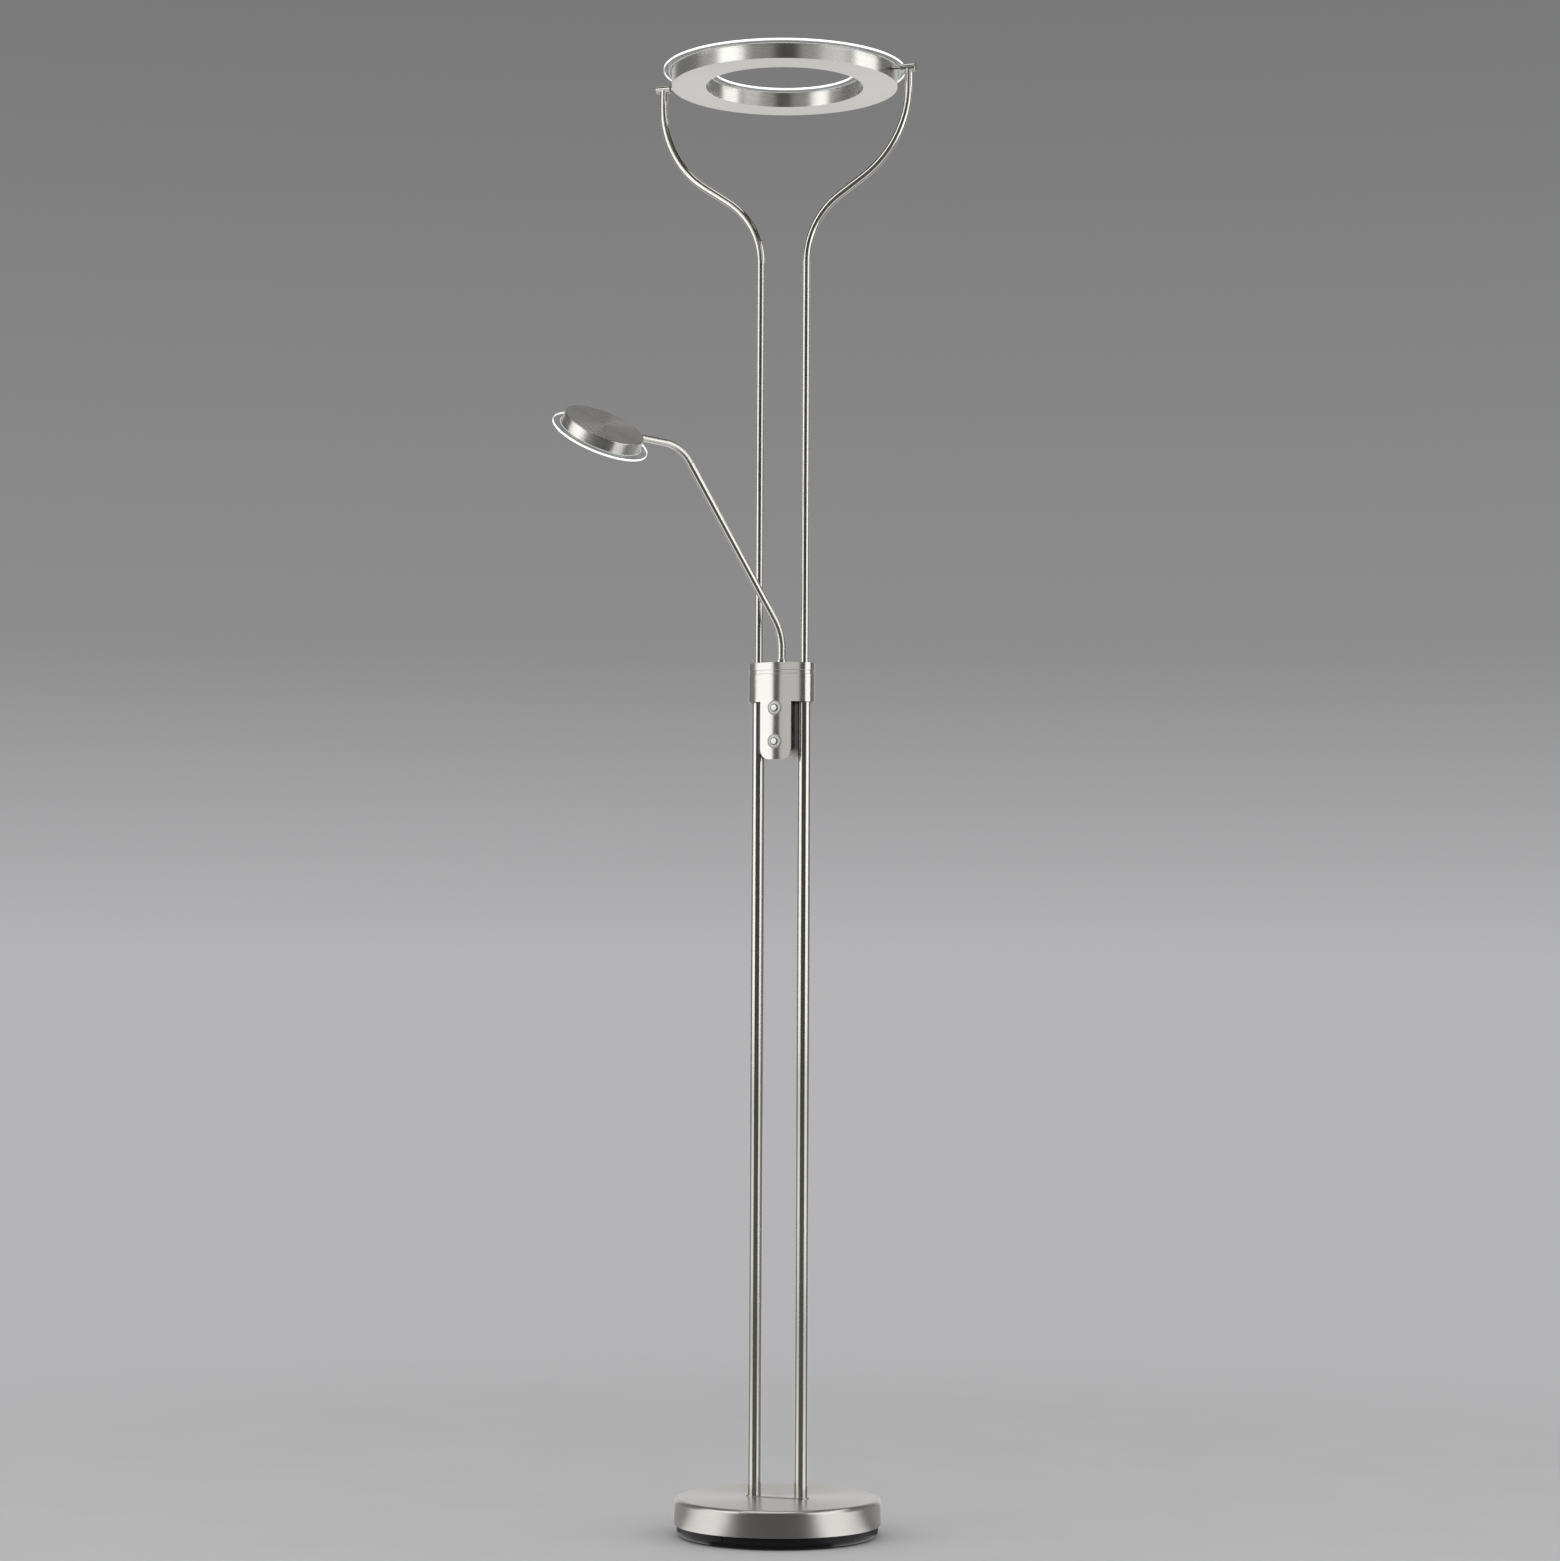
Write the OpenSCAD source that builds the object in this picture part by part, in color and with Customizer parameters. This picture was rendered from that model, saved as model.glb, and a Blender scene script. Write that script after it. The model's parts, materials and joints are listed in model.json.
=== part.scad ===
// Torchiere floor lamp: a ring-shaped uplight that tilts between two forked tubes,
// and a reading light on a gooseneck arm. Millimetres.
// Frame: the origin is on the floor under the middle of the base, +Z is up,
// -Y is the front, and the two rods stand side by side along X.

/* [Overall] */
// Height from the floor to the top of the glass ring
lamp_h = 1800; // [1500:10:2160]
// Gap between pieces that only sit beside each other
fit_gap = 0.15; // [0.1:0.05:0.3]
// Radial clearance of a pin or shaft that turns in its bore
running_gap = 0.05; // [0.02:0.01:0.1]

/* [Base] */
// Diameter of the base cover
base_d = 250; // [208:1:300]
// Height of the cover's lower edge above the floor
foot_h = 15; // [12:0.5:18]
// Height of the cover's side, rounded edge included
cover_h = 32; // [28:0.5:45]
// Radius of the cover's top edge
cover_edge_r = 5; // [2:0.5:8]
// Sheet thickness of the cover
cover_wall = 1.5; // [1:0.1:2.5]
// How far the black foot tray stands in from the cover
foot_inset = 3; // [2:0.5:8]
// Radius of the tray's lower edge
foot_edge_r = 7; // [2:0.5:8]
// Thickness of the tray's floor
tray_floor = 2; // [1.5:0.5:3]
// Number of snap slots in the tray's rim
tray_slots = 3; // [2:1:6]
// Thickness of the felt under the tray
felt_t = 1.5; // [1:0.5:3]
// Height of the driver's case on top of the cast weight
driver_h = 20; // [15:1:22]
// Diameter of the tie rods that hold the lower tubes
tie_rod_d = 10; // [8:0.5:10]
// Thickness of the foot plate under the rods
foot_plate_t = 1; // [0.8:0.1:3]
// Width of the foot plate
foot_plate_w = 20; // [18:1:30]

/* [Rods] */
// Distance between the two rods
rod_pitch = 60; // [50:1:80]
// Diameter of the lower tubes
lower_rod_d = 16; // [14:0.5:20]
// Wall of the lower tubes
lower_rod_wall = 1; // [0.8:0.1:1.5]
// Diameter of the upper tubes
upper_rod_d = 10; // [9:0.5:12]
// Wall of the upper tubes
upper_rod_wall = 1; // [0.8:0.1:1.5]

/* [Fork] */
// Gap between the ring's glass and the cross barrels
barrel_gap = 2.5; // [1.5:0.5:10]
// Steepest lean of the flared tubes from the vertical
fork_lean = 56.5; // [50:0.5:65]
// Radius of the bend that leads out from the rods
fork_low_r = 96; // [60:1:110]
// Radius of the bend that leads back up to the pivots
fork_high_r = 128; // [90:1:135]
// Straight length of tube between the upper bend and the pivot axis
fork_end = 23; // [15:1:60]
// Diameter of the cross barrels
barrel_d = 10.5; // [10:0.5:14]
// Length of the cross barrels
barrel_len = 19; // [15:1:23]
// Diameter of the pivot pins
pivot_d = 5; // [4:0.5:6]

/* [Ring head] */
// Outer diameter of the ring housing
ring_d = 280; // [234:1:340]
// Diameter of the hole in the ring housing
ring_hole_d = 195; // [160:1:200]
// Height of the ring housing
ring_h = 18; // [16:1:24]
// Sheet thickness of the ring housing
ring_wall = 1.5; // [1:0.1:2.5]
// How far the glass stands out past the ring's walls
glass_lip = 10; // [4:0.5:10]
// Thickness of the glass
glass_t = 4; // [3:0.5:6]
// Depth of the pivot axis below the top of the ring's walls
pivot_drop = 7; // [6:0.5:9]
// Number of light-emitting diodes round the ring
ring_leds = 36; // [12:4:48]

/* [Housing] */
// Height of the band's lower edge above the floor
band_z = 1012; // [800:1:1100]
// Height of the band
band_h = 48; // [46:1:60]
// How far the band stands out past the rods at its ends
band_past_rods = 4; // [3:0.5:8]
// Depth of the band's oval section
band_depth = 48; // [44:1:52]
// Radius of the oval's two ends
band_end_r = 16; // [14:0.5:18]
// Sheet thickness of the band and tongue
band_wall = 1.5; // [1:0.1:2]
// Distance from the band's top to its groove
groove_drop = 9.6; // [6:0.2:14]
// Height of the groove
groove_h = 3.8; // [1:0.2:6]
// Depth of the groove
groove_t = 0.5; // [0.2:0.1:0.8]
// Gap between the front tongue and the rods at either side, seen from the front
tongue_gap = 2; // [1:0.5:4]
// Drop of the tongue below the band
tongue_h = 71; // [66:1:90]
// Radius of the tongue's lower corners
tongue_r = 13; // [8:0.5:16]
// Distance from the band's lower edge down to the upper button
button_drop = 8; // [8:0.5:12]
// Distance between the two buttons
button_pitch = 41; // [24:1:44]
// Radius of the upright front corners of the box behind the tongue
box_corner_r = 6; // [4:0.5:8]
// Diameter of the buttons
button_d = 9; // [7:0.5:9.5]
// Outer diameter of the bezel rings
bezel_d = 18; // [17:0.5:19]
// Diameter of a bezel's raised collar
bezel_collar_d = 14.4; // [13:0.2:15.6]
// Thickness of a bezel's flange
bezel_flange_t = 0.8; // [0.5:0.1:1.2]
// How far a bezel stands out from the tongue
bezel_t = 1.8; // [1:0.1:3]
// How far a button stands out of its bezel
button_proud = 1.4; // [0.5:0.1:3]
// Travel of a button
button_travel = 1; // [0.5:0.1:1.2]

/* [Reading arm] */
// Angle of the arm from the line of the rods towards the front
arm_turn = 55; // [30:1:90]
// Height of the socket collar above the band
socket_h = 5; // [3:0.5:10]
// Diameter of the socket collar
socket_d = 13.6; // [13:0.2:18]
// Diameter of the goosenecks over their ribs
neck_d = 10.4; // [9.4:0.2:12]
// Diameter of the gooseneck at the reading head, over its ribs
head_neck_d = 9; // [8.6:0.2:10]
// Bore of the goosenecks
neck_bore = 7; // [6:0.5:7]
// Distance between the ribs of a gooseneck
rib_pitch = 2; // [1.6:0.2:4]
// Depth of the ribs
rib_t = 0.35; // [0.2:0.05:0.6]
// Lean of the arm from the vertical
arm_lean = 34.5; // [20:0.5:50]
// Upright length of the lower gooseneck above its collar
neck_rise = 12.5; // [8:0.5:30]
// Bend radius of the lower gooseneck
low_bend_r = 65; // [50:1:120]
// Straight length of the lower gooseneck past its bend
low_neck_run = 22; // [10:1:40]
// Length of the rigid arm tube
arm_len = 198; // [150:1:260]
// Diameter of the rigid arm tube
arm_d = 10; // [9:0.5:12]
// Turn of the upper gooseneck
head_turn = 51; // [20:0.5:80]
// Bend radius of the upper gooseneck
high_bend_r = 48; // [35:1:80]
// Straight length of the upper gooseneck before the reading head
high_neck_run = 36; // [15:1:60]
// Roll of the reading head about its neck
head_roll = -34; // [-60:1:60]

/* [Reading head] */
// Diameter of the reading head's cap
head_d = 100; // [84:1:130]
// Height of the cap
head_h = 14; // [14:0.5:24]
// Radius of the cap's top edge
head_edge_r = 1; // [0.5:0.25:3]
// Sheet thickness of the cap
head_wall = 1.5; // [1:0.1:2.5]
// How far the reading head's glass stands out past its cap
head_glass_lip = 10; // [5:0.5:20]
// Number of light-emitting diodes in the reading head
head_leds = 18; // [6:1:30]
// Diameter of the nipple that the head turns on
nipple_d = 6; // [5:0.5:6.5]

/* [Hidden] */
$fn = 96;
big = 400;
lap = 0.3;
bend_thinning = 0.03;

// Colours
nickel = [0.74, 0.73, 0.70];
polished = [0.82, 0.81, 0.79];
black = [0.07, 0.07, 0.07];
iron = [0.25, 0.25, 0.26];
brass = [0.75, 0.62, 0.35];
board_green = [0.10, 0.35, 0.20];
opal = [0.95, 0.95, 0.93];
clear = [0.85, 0.93, 0.92, 0.35];
felt = [0.16, 0.16, 0.17];

// Base
cover_r = base_d / 2;
cover_z = foot_h;
base_h = foot_h + cover_h;
foot_r = cover_r - foot_inset;
hem_w = 4;
upstand_r = cover_r - cover_wall - hem_w - fit_gap;
upstand_h = 8;
tray_wall = 2;
tray_top = felt_t + tray_floor;
tray_edge_in = foot_edge_r - sqrt(pow(foot_edge_r, 2) - pow(max(foot_edge_r - tray_floor, 0), 2));
tray_bore_r = min(upstand_r, foot_r - tray_edge_in) - tray_wall;
weight_r = tray_bore_r - 5;
driver_play = 3;
weight_top = base_h - cover_wall - driver_play - driver_h;
weight_h = weight_top - tray_top;
tie_hole_d = tie_rod_d + 0.5;
nut_h = 6;
nut_pocket_h = 8;
nut_pocket_d = 24;
nut_d = 18.5;
tie_nut_z = tray_top + nut_pocket_h - nut_h;
insert_h = 15;
driver_w = 80;
driver_depth = 40;
driver_y = 65;
inlet_d = 8.4;
inlet_flange_d = min(10.8, cover_z - felt_t - 1);
inlet_bore = 5.4;
inlet_z = (felt_t + cover_z) / 2;
inlet_y = foot_r - 9;
inlet_pad_d = inlet_flange_d + 1;
cord_slot = 16;

// Rods, couplers and fork
rod_x = rod_pitch / 2;
rod_z = base_h + foot_plate_t;
lower_bore = lower_rod_d - 2 * lower_rod_wall;
upper_bore = upper_rod_d - 2 * upper_rod_wall;
band_top = band_z + band_h;
cap_t = 3;
cap_z = band_top - cap_t;
coupler_z = band_z + 24;
coupler_collar = 3;
coupler_spigot = 16;
coupler_wire_d = 6;
upper_z = coupler_z + coupler_collar;
ring_top = lamp_h - glass_t;
ring_z = ring_top - ring_h;
pivot_z = ring_top - pivot_drop;
pivot_x = ring_d / 2 + glass_lip + barrel_gap + barrel_len / 2;
fork_out = pivot_x - rod_x;
fork_slant = (fork_out - (fork_low_r + fork_high_r) * (1 - cos(fork_lean))) / sin(fork_lean);
fork_rise = (fork_low_r + fork_high_r) * sin(fork_lean) + fork_slant * cos(fork_lean);
fork_z = pivot_z - fork_end - fork_rise;
peg_len = 8;
barrel_floor = 4.5;
pin_wire_d = 2.4;

// Ring head
ring_r = ring_d / 2;
ring_hole_r = ring_hole_d / 2;
pin_out_x = pivot_x + barrel_len / 2 - barrel_floor - 1;
pin_in_x = ring_r - ring_wall - 7;
pin_shoulder_d = 7.4;
pin_shoulder_t = 1.5;
pin_nut_t = 3.5;
pin_nut_d = 9;
board_t = 1.6;
diffuser_t = 2;

// Housing: the oval is two shallow arcs and two end arcs that meet in a tangent
band_w = rod_pitch + lower_rod_d + 2 * band_past_rods;
tongue_w = rod_pitch - lower_rod_d - 2 * tongue_gap;
band_end_x = band_w / 2 - band_end_r;
half_depth = band_depth / 2;
front_r = (pow(band_end_x, 2) + pow(half_depth, 2) - pow(band_end_r, 2)) / (2 * (half_depth - band_end_r));
front_c = front_r - half_depth;
front_half_angle = atan2(band_end_x, front_c);
groove_top = band_top - groove_drop;
tongue_z = band_z - tongue_h;
block_z = band_z + 2;
block_h = 16;
wire_hole_d = 8;
button_z = [band_z - button_drop, band_z - button_drop - button_pitch];
barrel_bezel_d = bezel_d - 5.2;
bezel_back_y = -half_depth + 3.6;
button_guide = 0.15;
button_flange_d = barrel_bezel_d - 1.4;
button_flange_y = bezel_back_y + 0.3;
button_flange_t = 1.5;
button_back_y = button_flange_y + button_flange_t;
button_dome = 1;
button_front_y = -half_depth - bezel_t - button_proud;
box_w = tongue_w - 0.4;
box_corner_x = box_w / 2 - box_corner_r;
box_corner_y = front_c - sqrt(pow(front_r - band_wall - fit_gap - box_corner_r, 2) - pow(box_corner_x, 2));
box_front_y = box_corner_y - box_corner_r;
box_back_y = half_depth - 9;
box_z = tongue_z + 4;
box_wall = 1.6;
window_w = 22;
window_margin = 1.5;
box_r = tongue_r - 1;
box_top = block_z;
pcb_z = box_z + tongue_r;
pcb_top = box_top - 6;
rail_w = 1.8;
rail_t = 1.4;
switch_w = 8;
switch_t = 3.5;
plunger_d = 4;
plunger_len = 2;
plunger_y = button_back_y + button_travel + 0.1;
pcb_y = plunger_y + plunger_len + switch_t;
lid_t = 1.6;
lid_screw_d = 3;
lid_screw_head = 5.5;
boss_d = 6;
boss_gap = 5.4;
boss_len = box_back_y - pcb_y - board_t - boss_gap;
boss_z = [box_z + 4, box_top - 4];
band_screw_d = 4;
band_screw_head = 7;
band_screw_len = half_depth - wire_hole_d - 2;
band_screw_z = block_z + block_h / 2;

// Swivel and reading arm
shaft_d = 12;
bush_d = 16;
bush_flange_d = 20;
bush_flange_t = 3;
bush_z = cap_z - 7;
swivel_play = 0.3;
collar_z = band_top + swivel_play;
neck_z = collar_z + socket_h;
swivel_nut_h = 4;
swivel_nut_z = bush_z - swivel_play - swivel_nut_h;
swivel_nut_d = 18;
sleeve_d = neck_bore - 0.2;
sleeve_bore = 5;
sleeve_len = 8;
sleeve_seat = 10;
arm_wall = 1;
neck_lead = 2;
nipple_flange_t = 1.5;
rim_gap = 0.3;
nipple_gap = 0.1;
head_r = head_d / 2;
rim_boss = 4.5;
rim_boss_w = 14;
neck_nut_t = 3;
neck_nut_d = 10;
head_board_d = 72;
head_post_d = 5;
head_post_r = 28;
head_board_z = -3;

// ---------- shared shapes ----------

module ring2d(d, bore) {
    difference() {
        circle(d = d);
        circle(d = bore);
    }
}

module pipe(d, bore, h) {
    linear_extrude(h) ring2d(d, bore);
}

// A pipe that starts along +Z and bends towards +X. Its wall is drawn a hair thinner by the
// bending, and the straight runs beside it lap over its ends.
module pipe_bend(r, angle, d, bore) {
    translate([r, 0, 0])
        rotate([90, 0, 180])
            rotate_extrude(angle = angle, $fn = 64)
                translate([r, 0]) ring2d(d - 2 * bend_thinning, bore + 2 * bend_thinning, $fn = 64);
}

// A straight pipe from z = from to z = to
module run(d, bore, from, to) {
    translate([0, 0, from]) pipe(d, bore, to - from);
}

// Moves its children to the end of such a bend
module after_bend(r, angle) {
    translate([r * (1 - cos(angle)), 0, r * sin(angle)])
        rotate([0, angle, 0]) children();
}

// A rectangle from the axis out to r, with its outer top corner rounded
module rounded_half(r, h, edge) {
    square([r - edge, h]);
    square([r, h - edge]);
    translate([r - edge, h - edge]) circle(r = edge);
}

// A rectangle from the axis out to r, with both outer corners cut by a small bevel
module bevelled_half(r, h, bevel) {
    polygon([[0, 0], [r - bevel, 0], [r, bevel], [r, h - bevel], [r - bevel, h], [0, h]]);
}

module slot2d(pitch, w) {
    square([pitch, w], center = true);
    for (side = [-1, 1]) translate([side * pitch / 2, 0]) circle(d = w);
}

// Runs its children once at each rod
module at_rods() {
    for (side = [-1, 1]) translate([side * rod_x, 0, 0]) children();
}

// Turns a shape built along +Z so that it points to the front, -Y
module facing_front(x, y, z) {
    translate([x, y, z]) rotate([90, 0, 0]) children();
}

module hex_nut(d, bore, h) {
    difference() {
        cylinder(d = d, h = h, $fn = 6);
        translate([0, 0, -1]) cylinder(d = bore, h = h + 2);
    }
}

// ---------- base ----------

module felt_pad() {
    color(felt) cylinder(r = foot_r - foot_edge_r, h = felt_t);
}

module tray_profile() {
    difference() {
        union() {
            translate([0, felt_t]) {
                square([foot_r - foot_edge_r, cover_z - felt_t]);
                translate([0, foot_edge_r]) square([foot_r, cover_z - felt_t - foot_edge_r]);
                translate([foot_r - foot_edge_r, foot_edge_r]) circle(r = foot_edge_r);
            }
            translate([0, cover_z - 1]) square([upstand_r, upstand_h + 1]);
        }
        translate([-1, tray_top]) square([tray_bore_r + 1, big]);
    }
}

// Moulded tray with a flat round pad on its rim for the cord inlet
module foot_tray() {
    slot_w = 4;
    slot_deep = 1.2;
    color(black) difference() {
        union() {
            rotate_extrude() tray_profile();
            facing_front(0, foot_r, inlet_z) cylinder(d = inlet_pad_d, h = foot_r - inlet_y);
        }
        facing_front(0, foot_r + 5, inlet_z) cylinder(d = inlet_d + 0.2, h = 15);
        for (i = [0 : tray_slots - 1])
            rotate([0, 0, -101.5 + i * 360 / tray_slots])
                translate([foot_r - slot_deep, -slot_w / 2, cover_z - 8]) cube([10, slot_w, 10]);
    }
}

module cord_inlet() {
    color(black) difference() {
        union() {
            facing_front(0, foot_r + 0.1, inlet_z) cylinder(d = inlet_d, h = foot_r + 0.1 - inlet_y);
            facing_front(0, foot_r + 2.1, inlet_z) cylinder(d = inlet_flange_d, h = 2);
        }
        facing_front(0, foot_r + 5, inlet_z) cylinder(d = inlet_bore, h = 20);
    }
}

module base_weight() {
    color(iron) difference() {
        translate([0, 0, tray_top]) rotate_extrude() bevelled_half(weight_r, weight_h, 1);
        at_rods() {
            cylinder(d = tie_hole_d, h = big);
            translate([0, 0, tray_top - 1]) cylinder(d = nut_pocket_d, h = nut_pocket_h + 1);
        }
        translate([-cord_slot / 2, weight_r - 14, tray_top - 1]) cube([cord_slot, 30, weight_h + 2]);
    }
}

module led_driver() {
    corner = 3;
    color([0.85, 0.85, 0.85]) translate([0, driver_y, weight_top])
        linear_extrude(driver_h) {
            square([driver_w, driver_depth - 2 * corner], center = true);
            square([driver_w - 2 * corner, driver_depth], center = true);
            for (x = [-1, 1]) for (y = [-1, 1])
                translate([x * (driver_w / 2 - corner), y * (driver_depth / 2 - corner)])
                    circle(r = corner);
        }
}

module spacer_tubes() {
    color(iron) at_rods() translate([0, 0, weight_top])
        pipe(tie_rod_d + 8, tie_hole_d, base_h - cover_wall - weight_top);
}

module tie_rods() {
    color(brass) at_rods() translate([0, 0, tie_nut_z - 1])
        pipe(tie_rod_d, tie_rod_d - 4, rod_z + insert_h - tie_nut_z);
}

module tie_nuts() {
    color(iron) at_rods() translate([0, 0, tie_nut_z]) hex_nut(nut_d, tie_rod_d + 2 * running_gap, nut_h);
}

module cover_profile() {
    difference() {
        translate([0, cover_z]) rounded_half(cover_r, cover_h, cover_edge_r);
        translate([0, cover_z - 1])
            rounded_half(cover_r - cover_wall, cover_h - cover_wall + 1, max(cover_edge_r - cover_wall, 0.5));
    }
    translate([cover_r - cover_wall - hem_w, cover_z]) square([cover_wall + hem_w, cover_wall]);
}

module base_cover() {
    color(nickel) difference() {
        rotate_extrude() cover_profile();
        at_rods() translate([0, 0, base_h - 5]) cylinder(d = tie_hole_d, h = 10);
    }
}

module foot_plate() {
    color(nickel) translate([0, 0, base_h]) linear_extrude(foot_plate_t) difference() {
        slot2d(rod_pitch, foot_plate_w);
        for (side = [-1, 1]) translate([side * rod_x, 0]) circle(d = tie_hole_d);
    }
}

// ---------- rods ----------

module tube_inserts() {
    color(iron) at_rods() translate([0, 0, rod_z])
        pipe(lower_bore - 2 * running_gap, tie_rod_d + 2 * running_gap, insert_h);
}

module lower_tube(side) {
    color(nickel) translate([side * rod_x, 0, rod_z])
        pipe(lower_rod_d, lower_bore, coupler_z - rod_z);
}

// Stepped bush: a spigot in the lower tube, a collar on its end and a socket for the upper tube
module coupler(side) {
    socket_len = cap_z - upper_z;
    color(iron) translate([side * rod_x, 0, coupler_z]) difference() {
        union() {
            translate([0, 0, -coupler_spigot])
                cylinder(d = lower_bore - 2 * running_gap, h = coupler_spigot + 1);
            cylinder(d = lower_rod_d, h = coupler_collar);
            cylinder(d = lower_rod_d - 2, h = coupler_collar + socket_len);
        }
        translate([0, 0, -coupler_spigot - 1]) cylinder(d = coupler_wire_d, h = big);
        translate([0, 0, coupler_collar]) cylinder(d = upper_rod_d + 2 * running_gap, h = big);
    }
}

// Straight rod, bend out, slanted run, bend back and a short upright end coped to the barrel
module upper_tube(side) {
    straight = fork_z - upper_z;
    color(nickel) difference() {
        translate([side * rod_x, 0, upper_z]) mirror([side < 0 ? 1 : 0, 0, 0]) {
            run(upper_rod_d, upper_bore, 0, straight + lap);
            translate([0, 0, straight]) {
                pipe_bend(fork_low_r, fork_lean, upper_rod_d, upper_bore);
                after_bend(fork_low_r, fork_lean) {
                    run(upper_rod_d, upper_bore, -lap, fork_slant + lap);
                    translate([0, 0, fork_slant]) mirror([1, 0, 0]) {
                        pipe_bend(fork_high_r, fork_lean, upper_rod_d, upper_bore);
                        after_bend(fork_high_r, fork_lean) run(upper_rod_d, upper_bore, -lap, fork_end);
                    }
                }
            }
        }
        translate([side * pivot_x, 0, pivot_z]) rotate([0, 90, 0])
            cylinder(d = barrel_d + 2 * running_gap, h = 2 * upper_rod_d, center = true);
    }
}

module barrel(side) {
    color(nickel) translate([side * pivot_x, 0, pivot_z]) rotate([0, side * 90, 0]) difference() {
        union() {
            translate([0, 0, -barrel_len / 2]) rotate_extrude() bevelled_half(barrel_d / 2, barrel_len, 0.4);
            rotate([0, side * 90, 0]) cylinder(d = upper_bore - 2 * running_gap, h = barrel_d / 2 + peg_len);
        }
        translate([0, 0, -barrel_len / 2 - 1])
            cylinder(d = pivot_d + 2 * running_gap, h = barrel_len - barrel_floor + 1);
    }
}

// ---------- housing ----------

// The oval drawn smaller by inset, as a filled outline
module oval2d(inset) {
    joint_x = front_r * sin(front_half_angle);
    intersection() {
        translate([0, front_c]) circle(r = front_r - inset, $fn = 256);
        translate([0, -front_c]) circle(r = front_r - inset, $fn = 256);
        square([2 * (joint_x - inset * sin(front_half_angle)), band_depth], center = true);
    }
    for (side = [-1, 1]) translate([side * band_end_x, 0]) circle(r = band_end_r - inset);
}

// Outline of the tongue or the box behind it, seen from the front: round lower corners
module tongue2d(w, low, high, r) {
    translate([-w / 2, low + r]) square([w, high - low - r]);
    translate([-w / 2 + r, low]) square([w - 2 * r, r + 1]);
    for (side = [-1, 1]) translate([side * (w / 2 - r), low + r]) circle(r = r);
}

// Oval wall over the whole height, cut away under the band but for the front tongue
module band() {
    color(nickel) difference() {
        translate([0, 0, tongue_z - 1]) linear_extrude(band_top - tongue_z + 1) difference() {
            oval2d(0);
            oval2d(band_wall);
        }
        facing_front(0, band_depth, 0) linear_extrude(2 * band_depth) difference() {
            translate([-band_w, tongue_z - 2]) square([2 * band_w, tongue_h + 2]);
            tongue2d(tongue_w, tongue_z, band_z + 1, tongue_r);
        }
        translate([-band_w, -half_depth / 2, tongue_z - 2]) cube([2 * band_w, band_depth, tongue_h + 2]);
        translate([0, 0, groove_top - groove_h]) linear_extrude(groove_h) difference() {
            square([band_w + 10, band_depth + 10], center = true);
            oval2d(groove_t);
        }
        for (z = button_z) facing_front(0, 0, z) cylinder(d = barrel_bezel_d + 0.2, h = band_depth);
        facing_front(0, band_depth, band_screw_z) cylinder(d = band_screw_d + 0.4, h = half_depth + 5);
    }
}

module clamp_block() {
    color(iron) difference() {
        translate([0, 0, block_z]) linear_extrude(block_h) difference() {
            oval2d(band_wall + fit_gap);
            for (side = [-1, 1]) translate([side * rod_x, 0]) circle(d = lower_rod_d + 2 * running_gap);
            circle(d = wire_hole_d);
        }
        facing_front(0, band_depth, band_screw_z)
            cylinder(d = band_screw_d + 2 * running_gap, h = band_depth - wire_hole_d);
    }
}

module band_screw() {
    color(polished) {
        facing_front(0, half_depth, band_screw_z) cylinder(d = band_screw_d, h = band_screw_len);
        facing_front(0, half_depth + 2, band_screw_z) cylinder(d = band_screw_head, h = 2);
    }
}

module band_cap() {
    color(nickel) translate([0, 0, cap_z]) linear_extrude(cap_t) difference() {
        oval2d(band_wall + fit_gap);
        for (side = [-1, 1]) translate([side * rod_x, 0]) circle(d = upper_rod_d + 2 * fit_gap);
        circle(d = bush_d + 2 * running_gap);
    }
}

module swivel_bush() {
    color(brass) difference() {
        union() {
            translate([0, 0, bush_z]) cylinder(d = bush_d, h = band_top - bush_z);
            translate([0, 0, cap_z - bush_flange_t]) cylinder(d = bush_flange_d, h = bush_flange_t);
        }
        cylinder(d = shaft_d + 2 * running_gap, h = lamp_h);
    }
}

module box_outline(inset) {
    tongue2d(box_w - 2 * inset, box_z + inset, box_top - inset, box_r - inset);
}

// Plan of the box, drawn smaller by inset: its two front corners are round
module box_plan(inset) {
    corner = box_corner_r - inset;
    back = box_back_y - box_corner_y;
    translate([-box_w / 2 + inset, box_corner_y]) square([box_w - 2 * inset, back + 1]);
    translate([-box_corner_x, box_corner_y - corner]) square([2 * box_corner_x, corner + 1]);
    for (side = [-1, 1]) translate([side * box_corner_x, box_corner_y]) circle(r = corner);
}

module box_form(inset, behind) {
    intersection() {
        facing_front(0, box_back_y + behind, 0) linear_extrude(band_depth) box_outline(inset);
        translate([0, 0, box_z - 1]) linear_extrude(box_top - box_z + 2) box_plan(inset);
    }
}

// Metal box behind the tongue: a window in front for the buttons, a lid at the back
module switch_box() {
    window_z = button_z[1] - barrel_bezel_d / 2 - window_margin;
    window_h = button_pitch + barrel_bezel_d + 2 * window_margin;
    color(nickel) difference() {
        union() {
            difference() {
                box_form(0, 0);
                box_form(box_wall, 1);
                translate([-window_w / 2, box_front_y - 1, window_z])
                    cube([window_w, box_wall + 2, window_h]);
            }
            for (side = [-1, 1])
                translate([side * (box_w / 2 - box_wall / 2 - rail_w / 2) - rail_w / 2 - box_wall / 2,
                    pcb_y + board_t, pcb_z])
                    cube([rail_w + box_wall, rail_t, pcb_top - pcb_z]);
            for (z = boss_z) facing_front(0, box_back_y, z) cylinder(d = boss_d, h = boss_len);
        }
        for (z = boss_z) facing_front(0, box_back_y + 1, z)
            cylinder(d = lid_screw_d + 2 * running_gap, h = 16);
    }
}

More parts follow.
